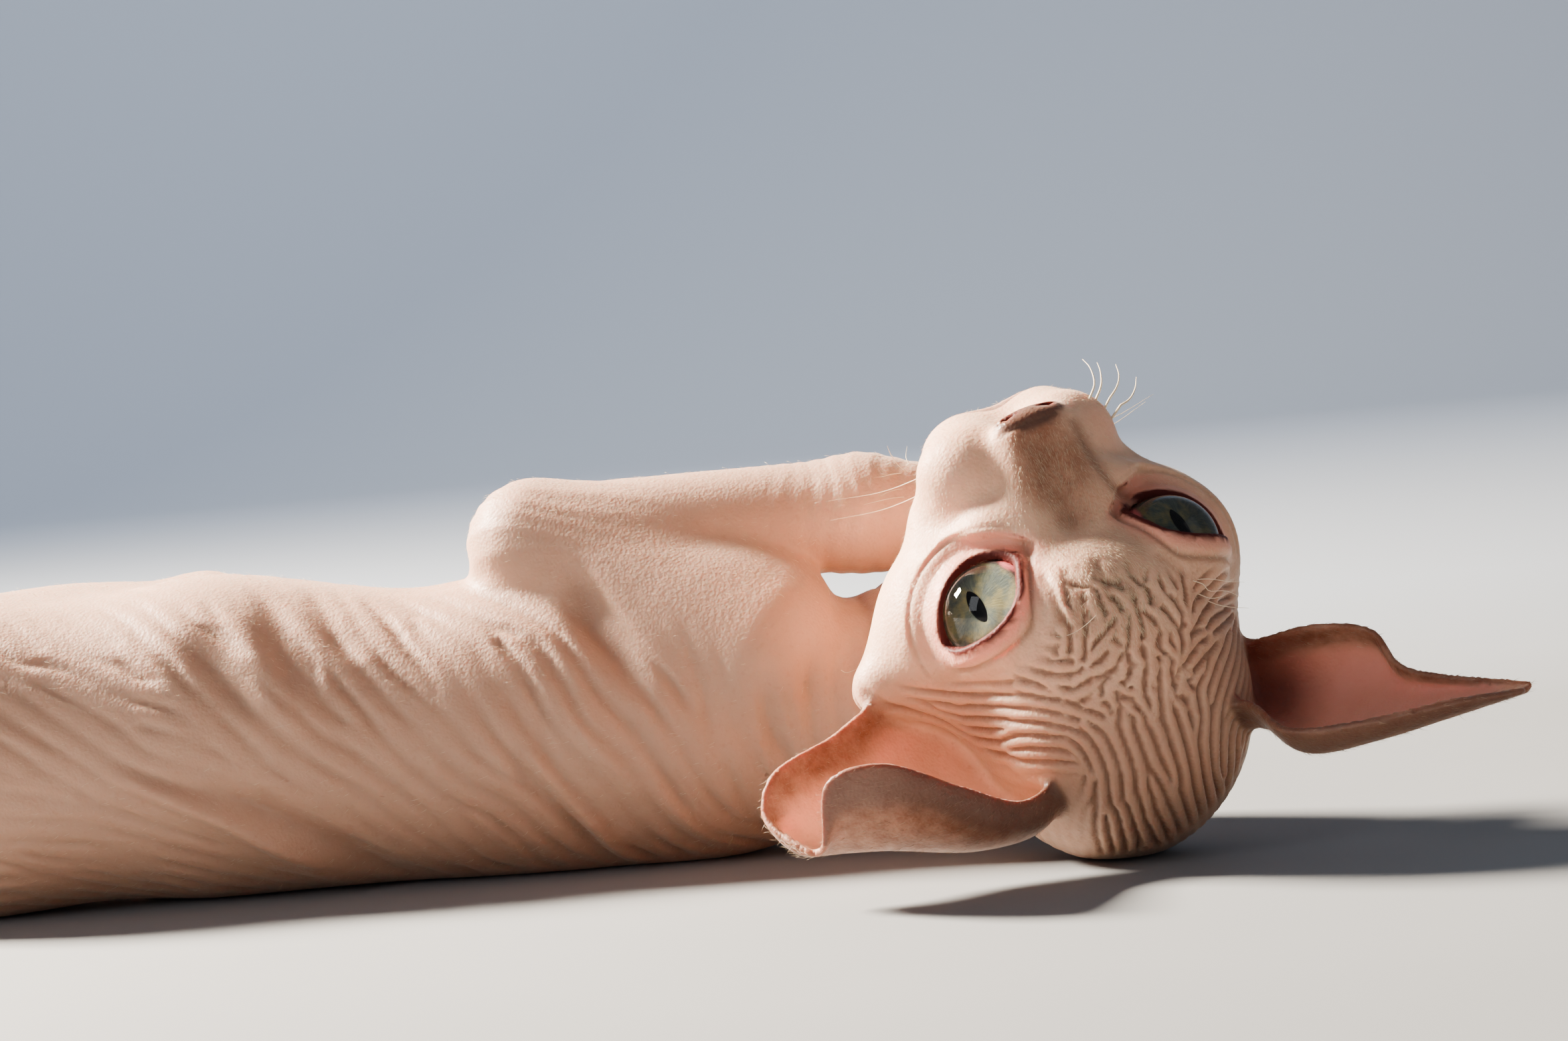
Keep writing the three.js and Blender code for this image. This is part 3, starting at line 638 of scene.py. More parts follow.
net = {"cell": 0.47, "fineTo": 30, "middleTo": 72, "middleStretch": 1.5, "farStretch": 2.4, "block": 4,
       "step": 0.5, "batch": 250000}
netCentre = fromHead([0, 14, -2])


def stretchTable():
    inner = np.arange(0, 400, net["step"])
    middle, far = net["middleTo"] * 0.6, net["middleTo"] * 1.1
    growth = 1 + (net["middleStretch"] - 1) * smooth(inner, net["fineTo"] * 0.8, net["fineTo"] * 1.3)
    growth += (net["farStretch"] - net["middleStretch"]) * smooth(inner, middle, far)
    return inner, np.concatenate([[0], np.cumsum(growth[:-1] * net["step"])])


def stretched(steps):
    # the net's even steps, spread wider the farther they lie from the face
    inner, outer = stretchTable()
    length = np.sqrt((steps ** 2).sum(1)) + 1e-9
    return netCentre + steps * (np.interp(length, inner, outer) / length)[:, None]


def drawNet(field, low, high):
    inner, outer = stretchTable()
    cell, block = net["cell"], net["block"]
    sides = [np.linspace(a, b, 9) for a, b in zip(low, high)]
    spots = np.array([[x, y, z] for x in sides[0] for y in sides[1] for z in sides[2]]) - netCentre
    length = np.linalg.norm(spots, axis=1) + 1e-9
    folded = spots * (np.interp(length, outer, inner) / length)[:, None]
    start = folded.min(0) - 4 * cell
    counts = np.ceil((folded.max(0) + 4 * cell - start) / cell / block).astype(int)
    shape = tuple(int(n) for n in counts * block)
    middles = (np.indices(counts).reshape(3, -1).T + 0.5) * block - 0.5
    reading = field(stretched(start + middles * cell))
    # only blocks that the surface may pass through are read corner by corner
    length = np.linalg.norm(start + middles * cell, axis=1)
    growth = np.maximum(np.interp(length, inner[1:], np.diff(outer) / net["step"]),
                        np.interp(length, inner, outer) / (length + 1e-9))
    near = np.abs(reading) < 0.87 * block * cell * growth * 1.35 + 0.5
    values = np.where(reading < 0, -9, 9).astype(np.float32).reshape(counts)
    values = np.repeat(np.repeat(np.repeat(values, block, 0), block, 1), block, 2)
    inBlock = np.indices((block, block, block)).reshape(3, -1).T
    corners = (np.floor(middles[near] - block / 2 + 0.5).astype(int)[:, None] + inBlock[None]).reshape(-1, 3)
    print("net of", shape, "reads", len(corners), "places")
    for first in range(0, len(corners), net["batch"]):
        part = corners[first:first + net["batch"]]
        values[tuple(part.T)] = field(stretched(start + part * cell))
    return knotsAndFaces(values, lambda at: stretched(start + at * cell), field)


def knotsAndFaces(values, placeOf, field):
    inside = values < 0
    shape = np.array(values.shape)
    cells, crossings, facesAt = [], [], []
    for axis in range(3):
        first = tuple(slice(None, -1) if a == axis else slice(None) for a in range(3))
        second = tuple(slice(1, None) if a == axis else slice(None) for a in range(3))
        edges = np.argwhere(inside[first] != inside[second])
        a = values[tuple(edges.T)]
        beyond = edges.copy()
        beyond[:, axis] += 1
        b = values[tuple(beyond.T)]
        crossing = edges.astype(float)
        crossing[:, axis] += a / (a - b)
        u, v = (axis + 1) % 3, (axis + 2) % 3
        ring = []
        for du, dv in [(0, 0), (1, 0), (1, 1), (0, 1)]:
            cell = edges.copy()
            cell[:, u] -= du
            cell[:, v] -= dv
            ring.append(np.ravel_multi_index(cell.T, shape))
            cells.append(ring[-1])
            crossings.append(crossing)
        ring = np.array(ring).T
        flip = a > 0
        ring[flip] = ring[flip][:, ::-1]
        facesAt.append(ring)
    cells, crossings = np.concatenate(cells), np.concatenate(crossings)
    names, index = np.unique(cells, return_inverse=True)
    count = np.bincount(index)
    knots = np.stack([np.bincount(index, crossings[:, axis]) / count for axis in range(3)], axis=1)
    faces = np.searchsorted(names, np.concatenate(facesAt))
    places = placeOf(knots)
    size = np.linalg.norm(placeOf(knots + 0.5) - placeOf(knots - 0.5), axis=1) / math.sqrt(3)
    return drawnTight(places, field, size), faces


def slopeOf(field, places, step=0.05):
    moves = np.eye(3) * step
    return np.stack([field(places + move) - field(places - move) for move in moves], axis=1) / (2 * step)


def drawnTight(places, field, size):
    start = places.copy()
    for again in range(3):
        slope = slopeOf(field, places)
        reading = field(places)
        places = places - slope * (reading / np.maximum((slope ** 2).sum(1), 0.3))[:, None]
        move = places - start
        length = np.linalg.norm(move, axis=1)
        places = start + move * np.minimum(1, 0.7 * size / (length + 1e-9))[:, None]
    return places


allBoxes = np.array(list(formBoxes.values()))
skinPlaces, skinFaces = drawNet(bodyField, allBoxes[:, 0].min(0) - 3, allBoxes[:, 1].max(0) + 3)
skinPlaces[:, 2] = np.maximum(skinPlaces[:, 2], 0)
print("skin net:", len(skinPlaces), "knots,", len(skinFaces), "faces")

# Creases. Two maps are laid over the skin, one round the skull and one round the trunk. On each,
# noise is swept along the direction the skin gathers in until it has drawn itself into bands.

skullMap = {"centre": (0, -3, -1), "radius": 27.5, "reach": 66, "step": 0.33, "wave": 2.6}
trunkMap = {"y": 56, "z": 28, "radius": 29, "start": -270, "end": 20, "step": 0.75, "wave": 5.0,
            "fineWave": 3.0}
# how high ridges rise and how deep lines sink, in mm, and how much painted shade darkens each
relief = {"crown": 0.62, "elsewhere": 0.16, "lidFold": 0.75, "lidRidge": 0.3, "underLid": 0.25, "body": 1.9,
          "bodyFine": 0.5, "placed": 1.25, "mouth": 0.7, "rings": 0.13}
shade = {"lidFold": 0.7, "underLid": 0.2, "body": 0.95, "bodyFine": 0.3, "placed": 0.42, "rings": 0.5}
# places in the photograph, with the direction in degrees that the bands take there
skullTurns = [
    (1417, 1087, -20), (1491, 1109, -3), (1583, 1109, 4), (1472, 1035, -8), (1565, 1039, 0), (1639, 1028, 22),
    (1528, 1065, 0), (1340, 1080, -12), (1639, 1091, -32), (1672, 1135, -66), (1687, 1176, -86),
    (1635, 1117, -45), (1646, 1146, -85), (1637, 1180, -118), (1617, 1150, 0), (1540, 1150, 0),
    (1694, 1087, -60), (1750, 1065, -68), (1783, 1065, -78), (1787, 1102, -88), (1813, 1087, 85),
    (1831, 1039, 70), (1861, 1046, 60), (1880, 1035, 54), (1798, 969, 42), (1835, 950, 46),
    (1824, 1002, 52), (1694, 947, -58), (1661, 917, -50), (1735, 924, -60), (1743, 965, -76),
    (1654, 965, -100), (1640, 1002, 40), (1602, 910, -66), (1560, 1000, -20), (1676, 1176, -84),
    (1713, 1146, -60), (1750, 1132, -72), (1772, 1154, 88), (1731, 1176, -40), (1850, 900, 35)]
skullKinks = [(1640, 1010), (1700, 900), (1760, 1000)]
skullEdge = [
    (1290, 1050), (1400, 1022), (1500, 1022), (1570, 990), (1590, 940), (1575, 900), (1600, 880),
    (1650, 875), (1760, 868), (1860, 872), (1900, 930), (1925, 1020), (1900, 1110), (1850, 1180),
    (1740, 1230), (1650, 1230), (1620, 1160), (1500, 1150), (1380, 1120), (1300, 1110)]
trunkTurns = [
    (100, 1000, -30), (60, 1250, -12), (300, 1290, -15), (200, 1100, -30), (340, 1020, -52), (480, 1000, -55),
    (430, 1150, -40), (600, 1050, -50), (700, 950, -46), (600, 1250, -32), (700, 1150, -46),
    (850, 1100, -48), (800, 1250, -40), (950, 1200, -38), (900, 980, -50), (1050, 1120, -62),
    (1000, 1270, -26), (1150, 1150, -74), (1200, 1000, -88), (1150, 1265, -14), (1100, 940, -70),
    (900, 760, -15), (1100, 760, -4), (720, 780, -70)]


def onSkull(across, down):
    # where a pixel meets the skull map's ball, or passes nearest to it
    start, line = np.array(view["place"]), sightLine(across, down)
    away = fromHead(skullMap["centre"]) - start
    along = away @ line
    gap = away @ away - along * along
    along -= math.sqrt(max(skullMap["radius"] ** 2 - gap, 0))
    return skullPlace((start + line * along)[None])[0]


def skullPlace(places):
    # turned flat about the line from the head to the camera, arcs kept at their length
    towards = unit(np.array(view["place"]) - headCentre)
    side = unit(np.cross((0, 0, 1.0), -towards))
    up = np.cross(towards, side)
    away = places - fromHead(skullMap["centre"])
    away = away / (np.linalg.norm(away, axis=1, keepdims=True) + 1e-9)
    x, y = away @ side, away @ up
    flat = np.sqrt(x * x + y * y) + 1e-9
    arc = np.arctan2(flat, away @ towards) * skullMap["radius"]
    return np.c_[x / flat * arc, y / flat * arc]


def onTrunk(across, down):
    start, line = np.array(view["place"]), sightLine(across, down)
    away = (trunkMap["y"] - start[1], trunkMap["z"] - start[2])
    flat = math.hypot(line[1], line[2])
    along = (away[0] * line[1] + away[1] * line[2]) / flat ** 2
    gap = away[0] ** 2 + away[1] ** 2 - (along * flat) ** 2
    along -= math.sqrt(max(trunkMap["radius"] ** 2 - gap, 0)) / flat
    return trunkPlace((start + line * along)[None])[0]


def trunkPlace(places):
    turn = np.arctan2(places[:, 2] - trunkMap["z"], trunkMap["y"] - places[:, 1])
    return np.c_[places[:, 0], turn * trunkMap["radius"]]


def turnsOn(place, turns, reach=6):
    spots, ways = [], []
    for across, down, degrees in turns:
        lean = math.radians(degrees)
        x, y = reach * math.cos(lean), reach * math.sin(lean)
        ahead, behind = place(across + x, down - y), place(across - x, down + y)
        spots.append((ahead + behind) / 2)
        ways.append(2 * math.atan2(*(ahead - behind)[::-1]))
    return np.array(spots), np.array(ways)


def frequencies(shape, step):
    x, y = np.meshgrid(np.fft.fftfreq(shape[0], step), np.fft.fftfreq(shape[1], step), indexing="ij")
    return x, y, np.sqrt(x * x + y * y)


def clouds(shape, step, size, seed):
    # soft noise with lumps of about the given size
    x, y, length = frequencies(shape, step)
    noise = np.fft.fft2(np.random.default_rng(seed).standard_normal(shape))
    soft = np.fft.ifft2(noise * np.exp(-(length * size) ** 2)).real
    return soft / soft.std()


def drawBands(shape, step, corner, spots, ways, wave, wander, seed, rounds=9, count=12):
    u = corner[0] + np.arange(shape[0]) * step
    v = corner[1] + np.arange(shape[1]) * step
    lean = np.zeros(shape, complex)
    for (x, y), way in zip(spots, ways):
        away = (u[:, None] - x) ** 2 + (v[None] - y) ** 2
        lean += np.exp(1j * way) / (away + (1.1 * wave) ** 2) ** 1.6
    lean = np.angle(lean) / 2 + wander
    x, y, length = frequencies(shape, step)
    heading = np.arctan2(y, x)
    ring = hump(length * wave - 1, 0.33)
    sweeps, shares = [], []
    for turn in range(count):
        across = math.pi * turn / count + math.pi / 2
        off = (heading - across + math.pi / 2) % math.pi - math.pi / 2
        sweeps.append(ring * hump(off, 0.3))
        off = (lean - math.pi * turn / count + math.pi / 2) % math.pi - math.pi / 2
        shares.append(np.maximum(1 - np.abs(off) * count / math.pi, 0))
    blur = np.exp(-(length * wave * 1.4) ** 2)
    bands = np.random.default_rng(seed).standard_normal(shape)
    for again in range(rounds):
        waves = np.fft.fft2(bands)
        bands = sum(np.fft.ifft2(waves * sweep).real * share for sweep, share in zip(sweeps, shares))
        strength = np.sqrt(np.maximum(np.fft.ifft2(np.fft.fft2(bands ** 2) * blur).real, 1e-12))
        bands = np.tanh(1.1 * bands / strength)
    return bands


def readMap(values, at, wraps=False):
    # four neighbours weighed by nearness
    first = np.floor(at).astype(int)
    share = at - first
    rows, columns = values.shape
    i = np.clip(first[:, 0], 0, rows - 2)
    j = first[:, 1] % columns if wraps else np.clip(first[:, 1], 0, columns - 2)
    k = (j + 1) % columns
    a, b = share[:, 0], share[:, 1]
    return ((values[i, j] * (1 - b) + values[i, k] * b) * (1 - a)
            + (values[i + 1, j] * (1 - b) + values[i + 1, k] * b) * a)


def bumpsOf(bands, sharp):
    # rounded ridges with narrow valleys between them
    valley = smooth(-bands, sharp - 0.25, 0.98)
    return bands * 0.3 - valley, valley


def drawSkull():
    # the bands wander most round three kinks of the crown
    reach, step = skullMap["reach"], skullMap["step"]
    shape = (int(2 * reach / step),) * 2
    grid = -reach + np.arange(shape[0]) * step
    kinked = sum(np.exp(-((grid[:, None] - x) ** 2 + (grid[None] - y) ** 2) / 9 ** 2)
                 for x, y in (onSkull(*kink) for kink in skullKinks))
    wander = (0.1 + 0.5 * np.minimum(kinked, 1)) * clouds(shape, step, 4.2, 3)
    spots, ways = turnsOn(onSkull, skullTurns)
    return drawBands(shape, step, (-reach, -reach), spots, ways, skullMap["wave"], wander, 11)


skullBands = drawSkull()
skullOutline = np.array([onSkull(*spot) for spot in skullEdge])

trunkAround = 2 * math.pi * trunkMap["radius"]
trunkCorner = (trunkMap["start"], -trunkAround / 2)
trunkShape = (int((trunkMap["end"] - trunkMap["start"]) / trunkMap["step"]),
              int(round(trunkAround / trunkMap["step"])))
trunkStep = (trunkMap["step"], trunkAround / trunkShape[1])
trunkWander = 0.16 * clouds(trunkShape, trunkMap["step"], 14, 5)
trunkWays = turnsOn(onTrunk, trunkTurns, 12)
trunkBands, trunkFine = (
    drawBands(trunkShape, trunkMap["step"], trunkCorner, *trunkWays, trunkMap[wave], trunkWander, seed)
    for wave, seed in (("wave", 7), ("fineWave", 9)))
trunkLumps = clouds(trunkShape, trunkMap["step"], 15, 13)
print("creases drawn")

# Folds of the flank that are placed one by one: pixels along each, width and height in mm
folds = [
    ([(70, 1150), (200, 1188), (300, 1222), (400, 1268), (480, 1312), (560, 1350)], 2.0, 3.2, 2.0),
    ([(180, 1160), (300, 1190), (400, 1228), (500, 1276), (600, 1318), (740, 1345)], 2.4, 3.4, -1.8),
    ([(793, 1116), (812, 1145), (870, 1203), (928, 1262), (996, 1318)], 2.0, 2.4, 1.3),
    ([(744, 1077), (783, 1145), (831, 1203), (899, 1271), (940, 1315)], 1.6, 2.0, -1.2),
    ([(744, 1020), (802, 1082), (831, 1145), (870, 1194), (928, 1237), (1010, 1290)], 1.8, 2.2, -1.2),
    ([(764, 975), (831, 1039), (890, 1107), (948, 1165), (1020, 1213), (1093, 1252), (1190, 1280)],
     2.4, 2.6, 0.9),
    ([(793, 840), (851, 888), (899, 951), (948, 1010), (987, 1058)], 2.6, 3.4, -1.9),
    ([(1214, 930), (1219, 1019), (1224, 1100)], 2.0, 2.0, -1.0),
    ([(1150, 990), (1160, 1090), (1190, 1170)], 1.8, 2.0, -0.8),
    ([(291, 950), (339, 1024), (388, 1090)], 3.2, 3.6, -1.0),
    ([(330, 920), (388, 1005), (437, 1073), (485, 1112)], 3.0, 3.4, 1.0),
    ([(388, 905), (436, 985), (485, 1048)], 3.0, 3.0, -1.1),
    ([(456, 898), (504, 947), (557, 995)], 2.8, 2.8, -0.8)]


def alongLine(at, knots):
    # each place's squared distance from a line, and how far along the line it lies
    away, share = np.full(len(at), 1e9), np.zeros(len(at))
    for index, (a, b) in enumerate(zip(knots[:-1], knots[1:])):
        edge = b - a
        along = np.clip((at - a) @ edge / (edge @ edge), 0, 1)
        apart = ((at - a - along[:, None] * edge) ** 2).sum(1)
        nearer = apart < away
        away[nearer] = apart[nearer]
        share[nearer] = (index + along[nearer]) / (len(knots) - 1)
    return away, share


def foldHeights(at):
    total = np.zeros(len(at))
    for pixels, first, last, height in folds:
        line = curveThrough([onTrunk(*pixel) for pixel in pixels], len(pixels) * 4)
        away, share = alongLine(at, line)
        fade = smooth(share, 0, 0.4) * smooth(1 - share, 0, 0.4)
        total += height * fade * np.exp(-away / (first + (last - first) * share) ** 2)
    return total


# Lines of the face as they run in the photograph: pixels, half width in pixels, depth in mm, and the painted
# shade along each
faceLines = [
    ([(1611, 623), (1622, 640), (1636, 669), (1656, 703), (1679, 732), (1699, 751), (1714, 766)],
     8, 0.45, 0.75),
    ([(1503, 664), (1510, 653), (1524, 646), (1540, 640), (1553, 634), (1575, 627), (1600, 621)],
     5, 0.35, 0.9),
    ([(1647, 838), (1655, 856), (1665, 882), (1679, 911)], 7, 0.5, 0.5),
    ([(1669, 876), (1690, 872), (1704, 884), (1716, 906)], 6, 0.4, 0.45),
    ([(1690, 842), (1712, 866), (1733, 890), (1742, 915)], 7, 0.35, 0.35),
    ([(1566, 862), (1583, 885), (1592, 915), (1598, 945)], 7, 0.4, 0.35),
    ([(1600, 850), (1612, 880), (1622, 915), (1626, 950)], 7, 0.4, 0.35),
    ([(1740, 830), (1765, 850), (1790, 872)], 8, 0.35, 0.3)]


def lineCloseness(pixels, line, width):
    # 1 on the line, fading over its width and toward its ends
    away, share = alongLine(pixels, curveThrough(line, len(line) * 5))
    return np.exp(-away / width ** 2) * smooth(share, 0, 0.12) * smooth(1 - share, 0, 0.12)


def lidDistances(places):
    # the nearer eye's distance from the edge of its lids, and how far toward the upper lid
    local = toHead(places)
    edge, rise, inward = np.full(len(places), 40.0), np.zeros(len(places)), np.zeros(len(places))
    for side in (-1, 1):
        near = np.where(((local - eyeCentre(side)) ** 2).sum(1) < 26 ** 2)[0]
        if len(near):
            away, x, y, w, length = lidPlace(side, local[near])
            # past the lids' own ball the distance grows outward as well
            beyond = 3 * (length - face["lidsEnd"])
            away = np.where(beyond < 0, away, np.maximum(away, beyond))
            nearer = away < edge[near]
            edge[near[nearer]] = away[nearer]
            rise[near[nearer]] = (y + 0.3 * x)[nearer]
            inward[near[nearer]] = x[nearer]
    return edge, rise, inward


def earDistance(places):
    local = toHead(places)
    return np.minimum(earFields["ear_left"](local), earFields["ear_right"](local))


def limbWrinkles(places):
    # short rings round elbows, knees, wrists and heels
    height = np.zeros(len(places))
    for name, limb in limbs.items():
        joints = np.array(limb["joints"], float)
        own = smooth(-np.abs(formAway(name, places)), -2.5, 0)
        for at in (1, 2):
            way = unit(unit(joints[at + 1] - joints[at]) + unit(joints[at] - joints[at - 1]))
            away = places - joints[at]
            along = away @ way
            reach = limb["radii"][at] * 1.5
            near = np.exp(-((away ** 2).sum(1)) / (reach * 1.3) ** 2) * own
            ripple = np.sin(along * 2 * math.pi / 3.6 + 1.6 * np.sin(away @ (0.21, 0.17, 0.24)) + at)
            height += near * ripple * relief["rings"]
    return height


def partingAt(local):
    # distance from the line where the upper head meets the jaw
    local = local.astype(np.float32)
    return upperHead(local) - jawForm(local) - face["mouthDrop"]


def creased(places, normals):
    # how far each place of the skin rises or sinks, and how much painted shade it gets in creases, folds and
    # lines
    at = skullPlace(places)
    flat = (at + skullMap["reach"]) / skullMap["step"]
    inside = insideLoop(skullOutline, at[:, 0], at[:, 1])
    edge, rise, inward = lidDistances(places)
    earAway = earDistance(places)
    local = toHead(places)
    skull = np.abs(headField(places)) < 2.5
    crown = (1 - smooth(inside, -2.6, 1.2)) * smooth(edge, 4.8, 7) * smooth(earAway, 0.4, 2.4) * skull
    elsewhere = relief["elsewhere"] * smooth(edge, 7, 12) * smooth(-local[:, 1], -12, 4)
    elsewhere = elsewhere * smooth(earAway, 1, 3) * skull
    amount = np.maximum(crown, elsewhere)
    ridges, valley = bumpsOf(readMap(skullBands, flat), 0.35)
    height = relief["crown"] * amount * ridges
    # painted shade in the crown's valleys
    crease = amount * valley

    # the fold of the upper lid with the ridge beside it, and the soft one under the eye, each with painted
    # shade in its fold
    foldAt = 4.4 - 2.6 * smooth(inward, 4, 11)
    fold = smooth(rise, -3, 1.5) * hump(edge - foldAt, 0.55) * skull
    height -= relief["lidFold"] * fold
    crease += shade["lidFold"] * fold
    height += relief["lidRidge"] * smooth(rise, -3, 1.5) * hump(edge - foldAt + 1.9, 1.1) * skull
    lower = smooth(-rise, -1, 2) * hump(edge - 5.6, 1.1) * skull
    height -= relief["underLid"] * lower
    crease += shade["underLid"] * lower

    # the trunk's bands, weaker over the rump, under the belly and on the limbs, with painted shade in their
    # valleys
    at = trunkPlace(places)
    flat = (at - trunkCorner) / trunkStep
    trunkAway = formAway("trunk", places)
    limbAway = np.min([formAway(name, places) for name in limbs], axis=0)
    body = smooth(-trunkAway, -7, -1) * smooth(earAway, 2, 6) * (~skull)
    lumps = readMap(trunkLumps, flat, True)
    strong = np.clip(0.75 + 0.35 * lumps, 0.15, 1.3) * smooth(at[:, 0], -262, -225)
    weak = smooth(at[:, 0], -236, -200) * 0.65 + 0.35
    topSide = 1 - 0.75 * smooth(at[:, 1], 24, 40)
    ridges, valley = bumpsOf(readMap(trunkBands, flat, True), 0.3)
    fineRidges, fineValley = bumpsOf(readMap(trunkFine, flat, True), 0.3)
    thigh = smooth(limbAway, -1, 5)
    level = body * strong * weak * topSide * (0.35 + 0.65 * thigh)
    height += level * (relief["body"] * ridges + relief["bodyFine"] * fineRidges)
    crease += level * (shade["body"] * valley + shade["bodyFine"] * fineValley)
    seen = smooth(normals @ (0, -1, 0.2), -0.5, 0.1)
    placed = foldHeights(at) * smooth(-trunkAway, -9, -2) * (~skull) * seen
    height += relief["placed"] * placed
    crease += smooth(-placed, 0.4, 2.0) * shade["placed"]

    # the mouth, the lines of the face and the rings of the limbs, each darkened with painted shade
    mouth = hump(partingAt(local), 0.55) * smooth(local[:, 1], 15, 19) * skull
    height -= relief["mouth"] * mouth
    crease += mouth
    pixels = onPicture(places)
    for line, width, depth, dark in faceLines:
        near = lineCloseness(pixels, line, width) * skull * (normals @ unit(np.array(view["place"])) > -0.2)
        height -= depth * near
        crease += dark * near
    rings = limbWrinkles(places) * (~skull)
    height += rings
    crease += smooth(-rings, 0.05, 0.3) * shade["rings"]
    rest = smooth(places[:, 2], 0.2, 3)
    return height * rest, np.clip(crease, 0, 1) * rest


def normalsOf(places, field):
    slope = slopeOf(field, places, 0.12)
    return slope / (np.linalg.norm(slope, axis=1, keepdims=True) + 1e-9)


skinNormals = normalsOf(skinPlaces, bodyField)
heights, creaseShadeAmount = creased(skinPlaces, skinNormals)
skinPlaces = skinPlaces + skinNormals * heights[:, None]
skinPlaces[:, 2] = np.maximum(skinPlaces[:, 2], 0)
print("skin creased, from", heights.min().round(2), "to", heights.max().round(2), "mm")


def meshFrom(name, places, faces):
    mesh = bpy.data.meshes.new(name)
    faces = np.asarray(faces)
    sides = faces.shape[1]
    mesh.vertices.add(len(places))
    mesh.vertices.foreach_set("co", np.asarray(places, np.float32).ravel())
    mesh.loops.add(faces.size)
    mesh.loops.foreach_set("vertex_index", faces.astype(np.int32).ravel())
    mesh.polygons.add(len(faces))
    mesh.polygons.foreach_set("loop_start", np.arange(0, faces.size, sides, dtype=np.int32))
    mesh.polygons.foreach_set("use_smooth", np.ones(len(faces), bool))
    mesh.update(calc_edges=True)
    mesh.validate()
    return inScene(name, mesh)


def numbersOf(items, name, width, kind=np.float32):
    values = np.empty(len(items) * width, kind)
    items.foreach_get(name, values)
    return values.reshape(-1, width)


def asPlainMesh(piece):
    # the piece with its modifiers worked in
    graph = bpy.context.evaluated_depsgraph_get()
    mesh = bpy.data.meshes.new_from_object(piece.evaluated_get(graph))
    piece.modifiers.clear()
    old = piece.data
    piece.data = mesh
    bpy.data.meshes.remove(old)
    mesh.name = piece.name


def addAttribute(mesh, name, values, kind="FLOAT"):
    layer = mesh.attributes.new(name, kind, "POINT")
    layer.data.foreach_set("value" if kind == "FLOAT" else "vector", np.asarray(values, np.float32).ravel())


skinMake = {"mostTriangles": 196000}
skin = meshFrom("skin", toFrame(skinPlaces), skinFaces)
# the skin carries the painted shade of its creases, folds and lines
addAttribute(skin.data, "crease", creaseShadeAmount)
triangles = 2 * len(skinFaces)
if triangles > skinMake["mostTriangles"]:
    thinner = skin.modifiers.new("thinner", "DECIMATE")
    thinner.ratio = skinMake["mostTriangles"] / triangles
    asPlainMesh(skin)
print("skin has", sum(len(p.vertices) - 2 for p in skin.data.polygons), "triangles")

# Markings: where the skin is pink, brown, or bare leather, and where shade is painted on it

markings = {"bridgeBrown": [((1.2, 33, -10), 9.5), ((1.8, 26, -4), 5.6), ((1.2, 38, -13.5), 7)],
            "muzzlePink": [((-12, 33, -17.5), 6.5), ((-15, 28, -16), 6), ((13, 32, -18), 9)],
            "leather": {"middle": (1.3, -16.6), "half": (6.6, 3.9)},
            "earBrown": 0.95, "lidPink": 0.85, "noseBrown": 0.9, "lips": 0.7, "pawPink": 0.75, "padDark": 0.8}
places = numbersOf(skin.data.vertices, "co", 3) / mm - bodyShift
local = toHead(places)
edge, rise, inward = lidDistances(places)
onHead = smooth(-np.abs(headField(places)), -3, -1.5)
leftEar, rightEar = (earFields[name](local) for name in ("ear_left", "ear_right"))
onEar = smooth(-np.minimum(leftEar, rightEar), -1.6, -0.4)


def earPlaces(shape, points):
    # for points near an ear: how far along it, how far across, and how far off its middle to the back
    sheet = earSheet(shape)
    steps = earMake["steps"]
    tree = BVHTree.FromPolygons([Vector(p) for p in sheet.reshape(-1, 3)], gridQuads(steps).tolist())
    back = Vector(unit(shape["back"]))
    along, across, outward = (np.zeros(len(points)) for kind in range(3))
    for index, point in enumerate(points):
        found, normal, cell, away = tree.find_nearest(Vector(point))
        along[index], across[index] = cell // steps / steps, cell % steps / steps
        outward[index] = (Vector(point) - found) @ (normal if normal @ back > 0 else -normal)
    return along, across, outward


# besides the ears' own colours, the deep hollow at each ear's base gets painted shade, tinted red like light
# shining through the thin ear
pink, brown, leather, sunk = (np.zeros(len(places)) for kind in range(4))
for name, distance in (("ear_left", leftEar), ("ear_right", rightEar)):
    near = np.where(distance < 2)[0]
    along, across, outward = earPlaces(ears[name], local[near])
    rim = np.maximum(smooth(np.abs(2 * across - 1), 0.7, 0.9), smooth(along, 0.9, 1))
    weight = onEar[near]
    inner = smooth(-outward, 0, 0.5)
    back = np.maximum((1 - inner) * markings["earBrown"], rim * markings["earBrown"])
    for layer, amount in ((pink, weight * inner * (1 - 0.8 * rim) * ears[name]["pink"]),
                          (brown, weight * back),
                          # painted shade deep in the ear's hollow near its base, scaled by the ear's pink
                          # strength as well
                          (sunk, weight * inner * smooth(0.42 - along, 0, 0.3) * ears[name]["pink"]),
                          (leather, weight * smooth(1 - 2 * across, 0.6, 0.8) * (0.8 - 0.6 * inner))):
        layer[near] = np.maximum(layer[near], amount)

# the lids: pink round the eye, and a dark rim, wider on the upper lid: partly the lid's own dark margin,
# partly painted shade on the lid's inner wall and under the upper lid
pink = np.maximum(pink, smooth(-edge, -4.6, -1.6) * onHead * markings["lidPink"])
rimWide = 0.35 + 0.6 * smooth(rise, -2, 2)
lidRimDarkAndShade = smooth(rimWide - edge, -0.2, 0.2) * onHead

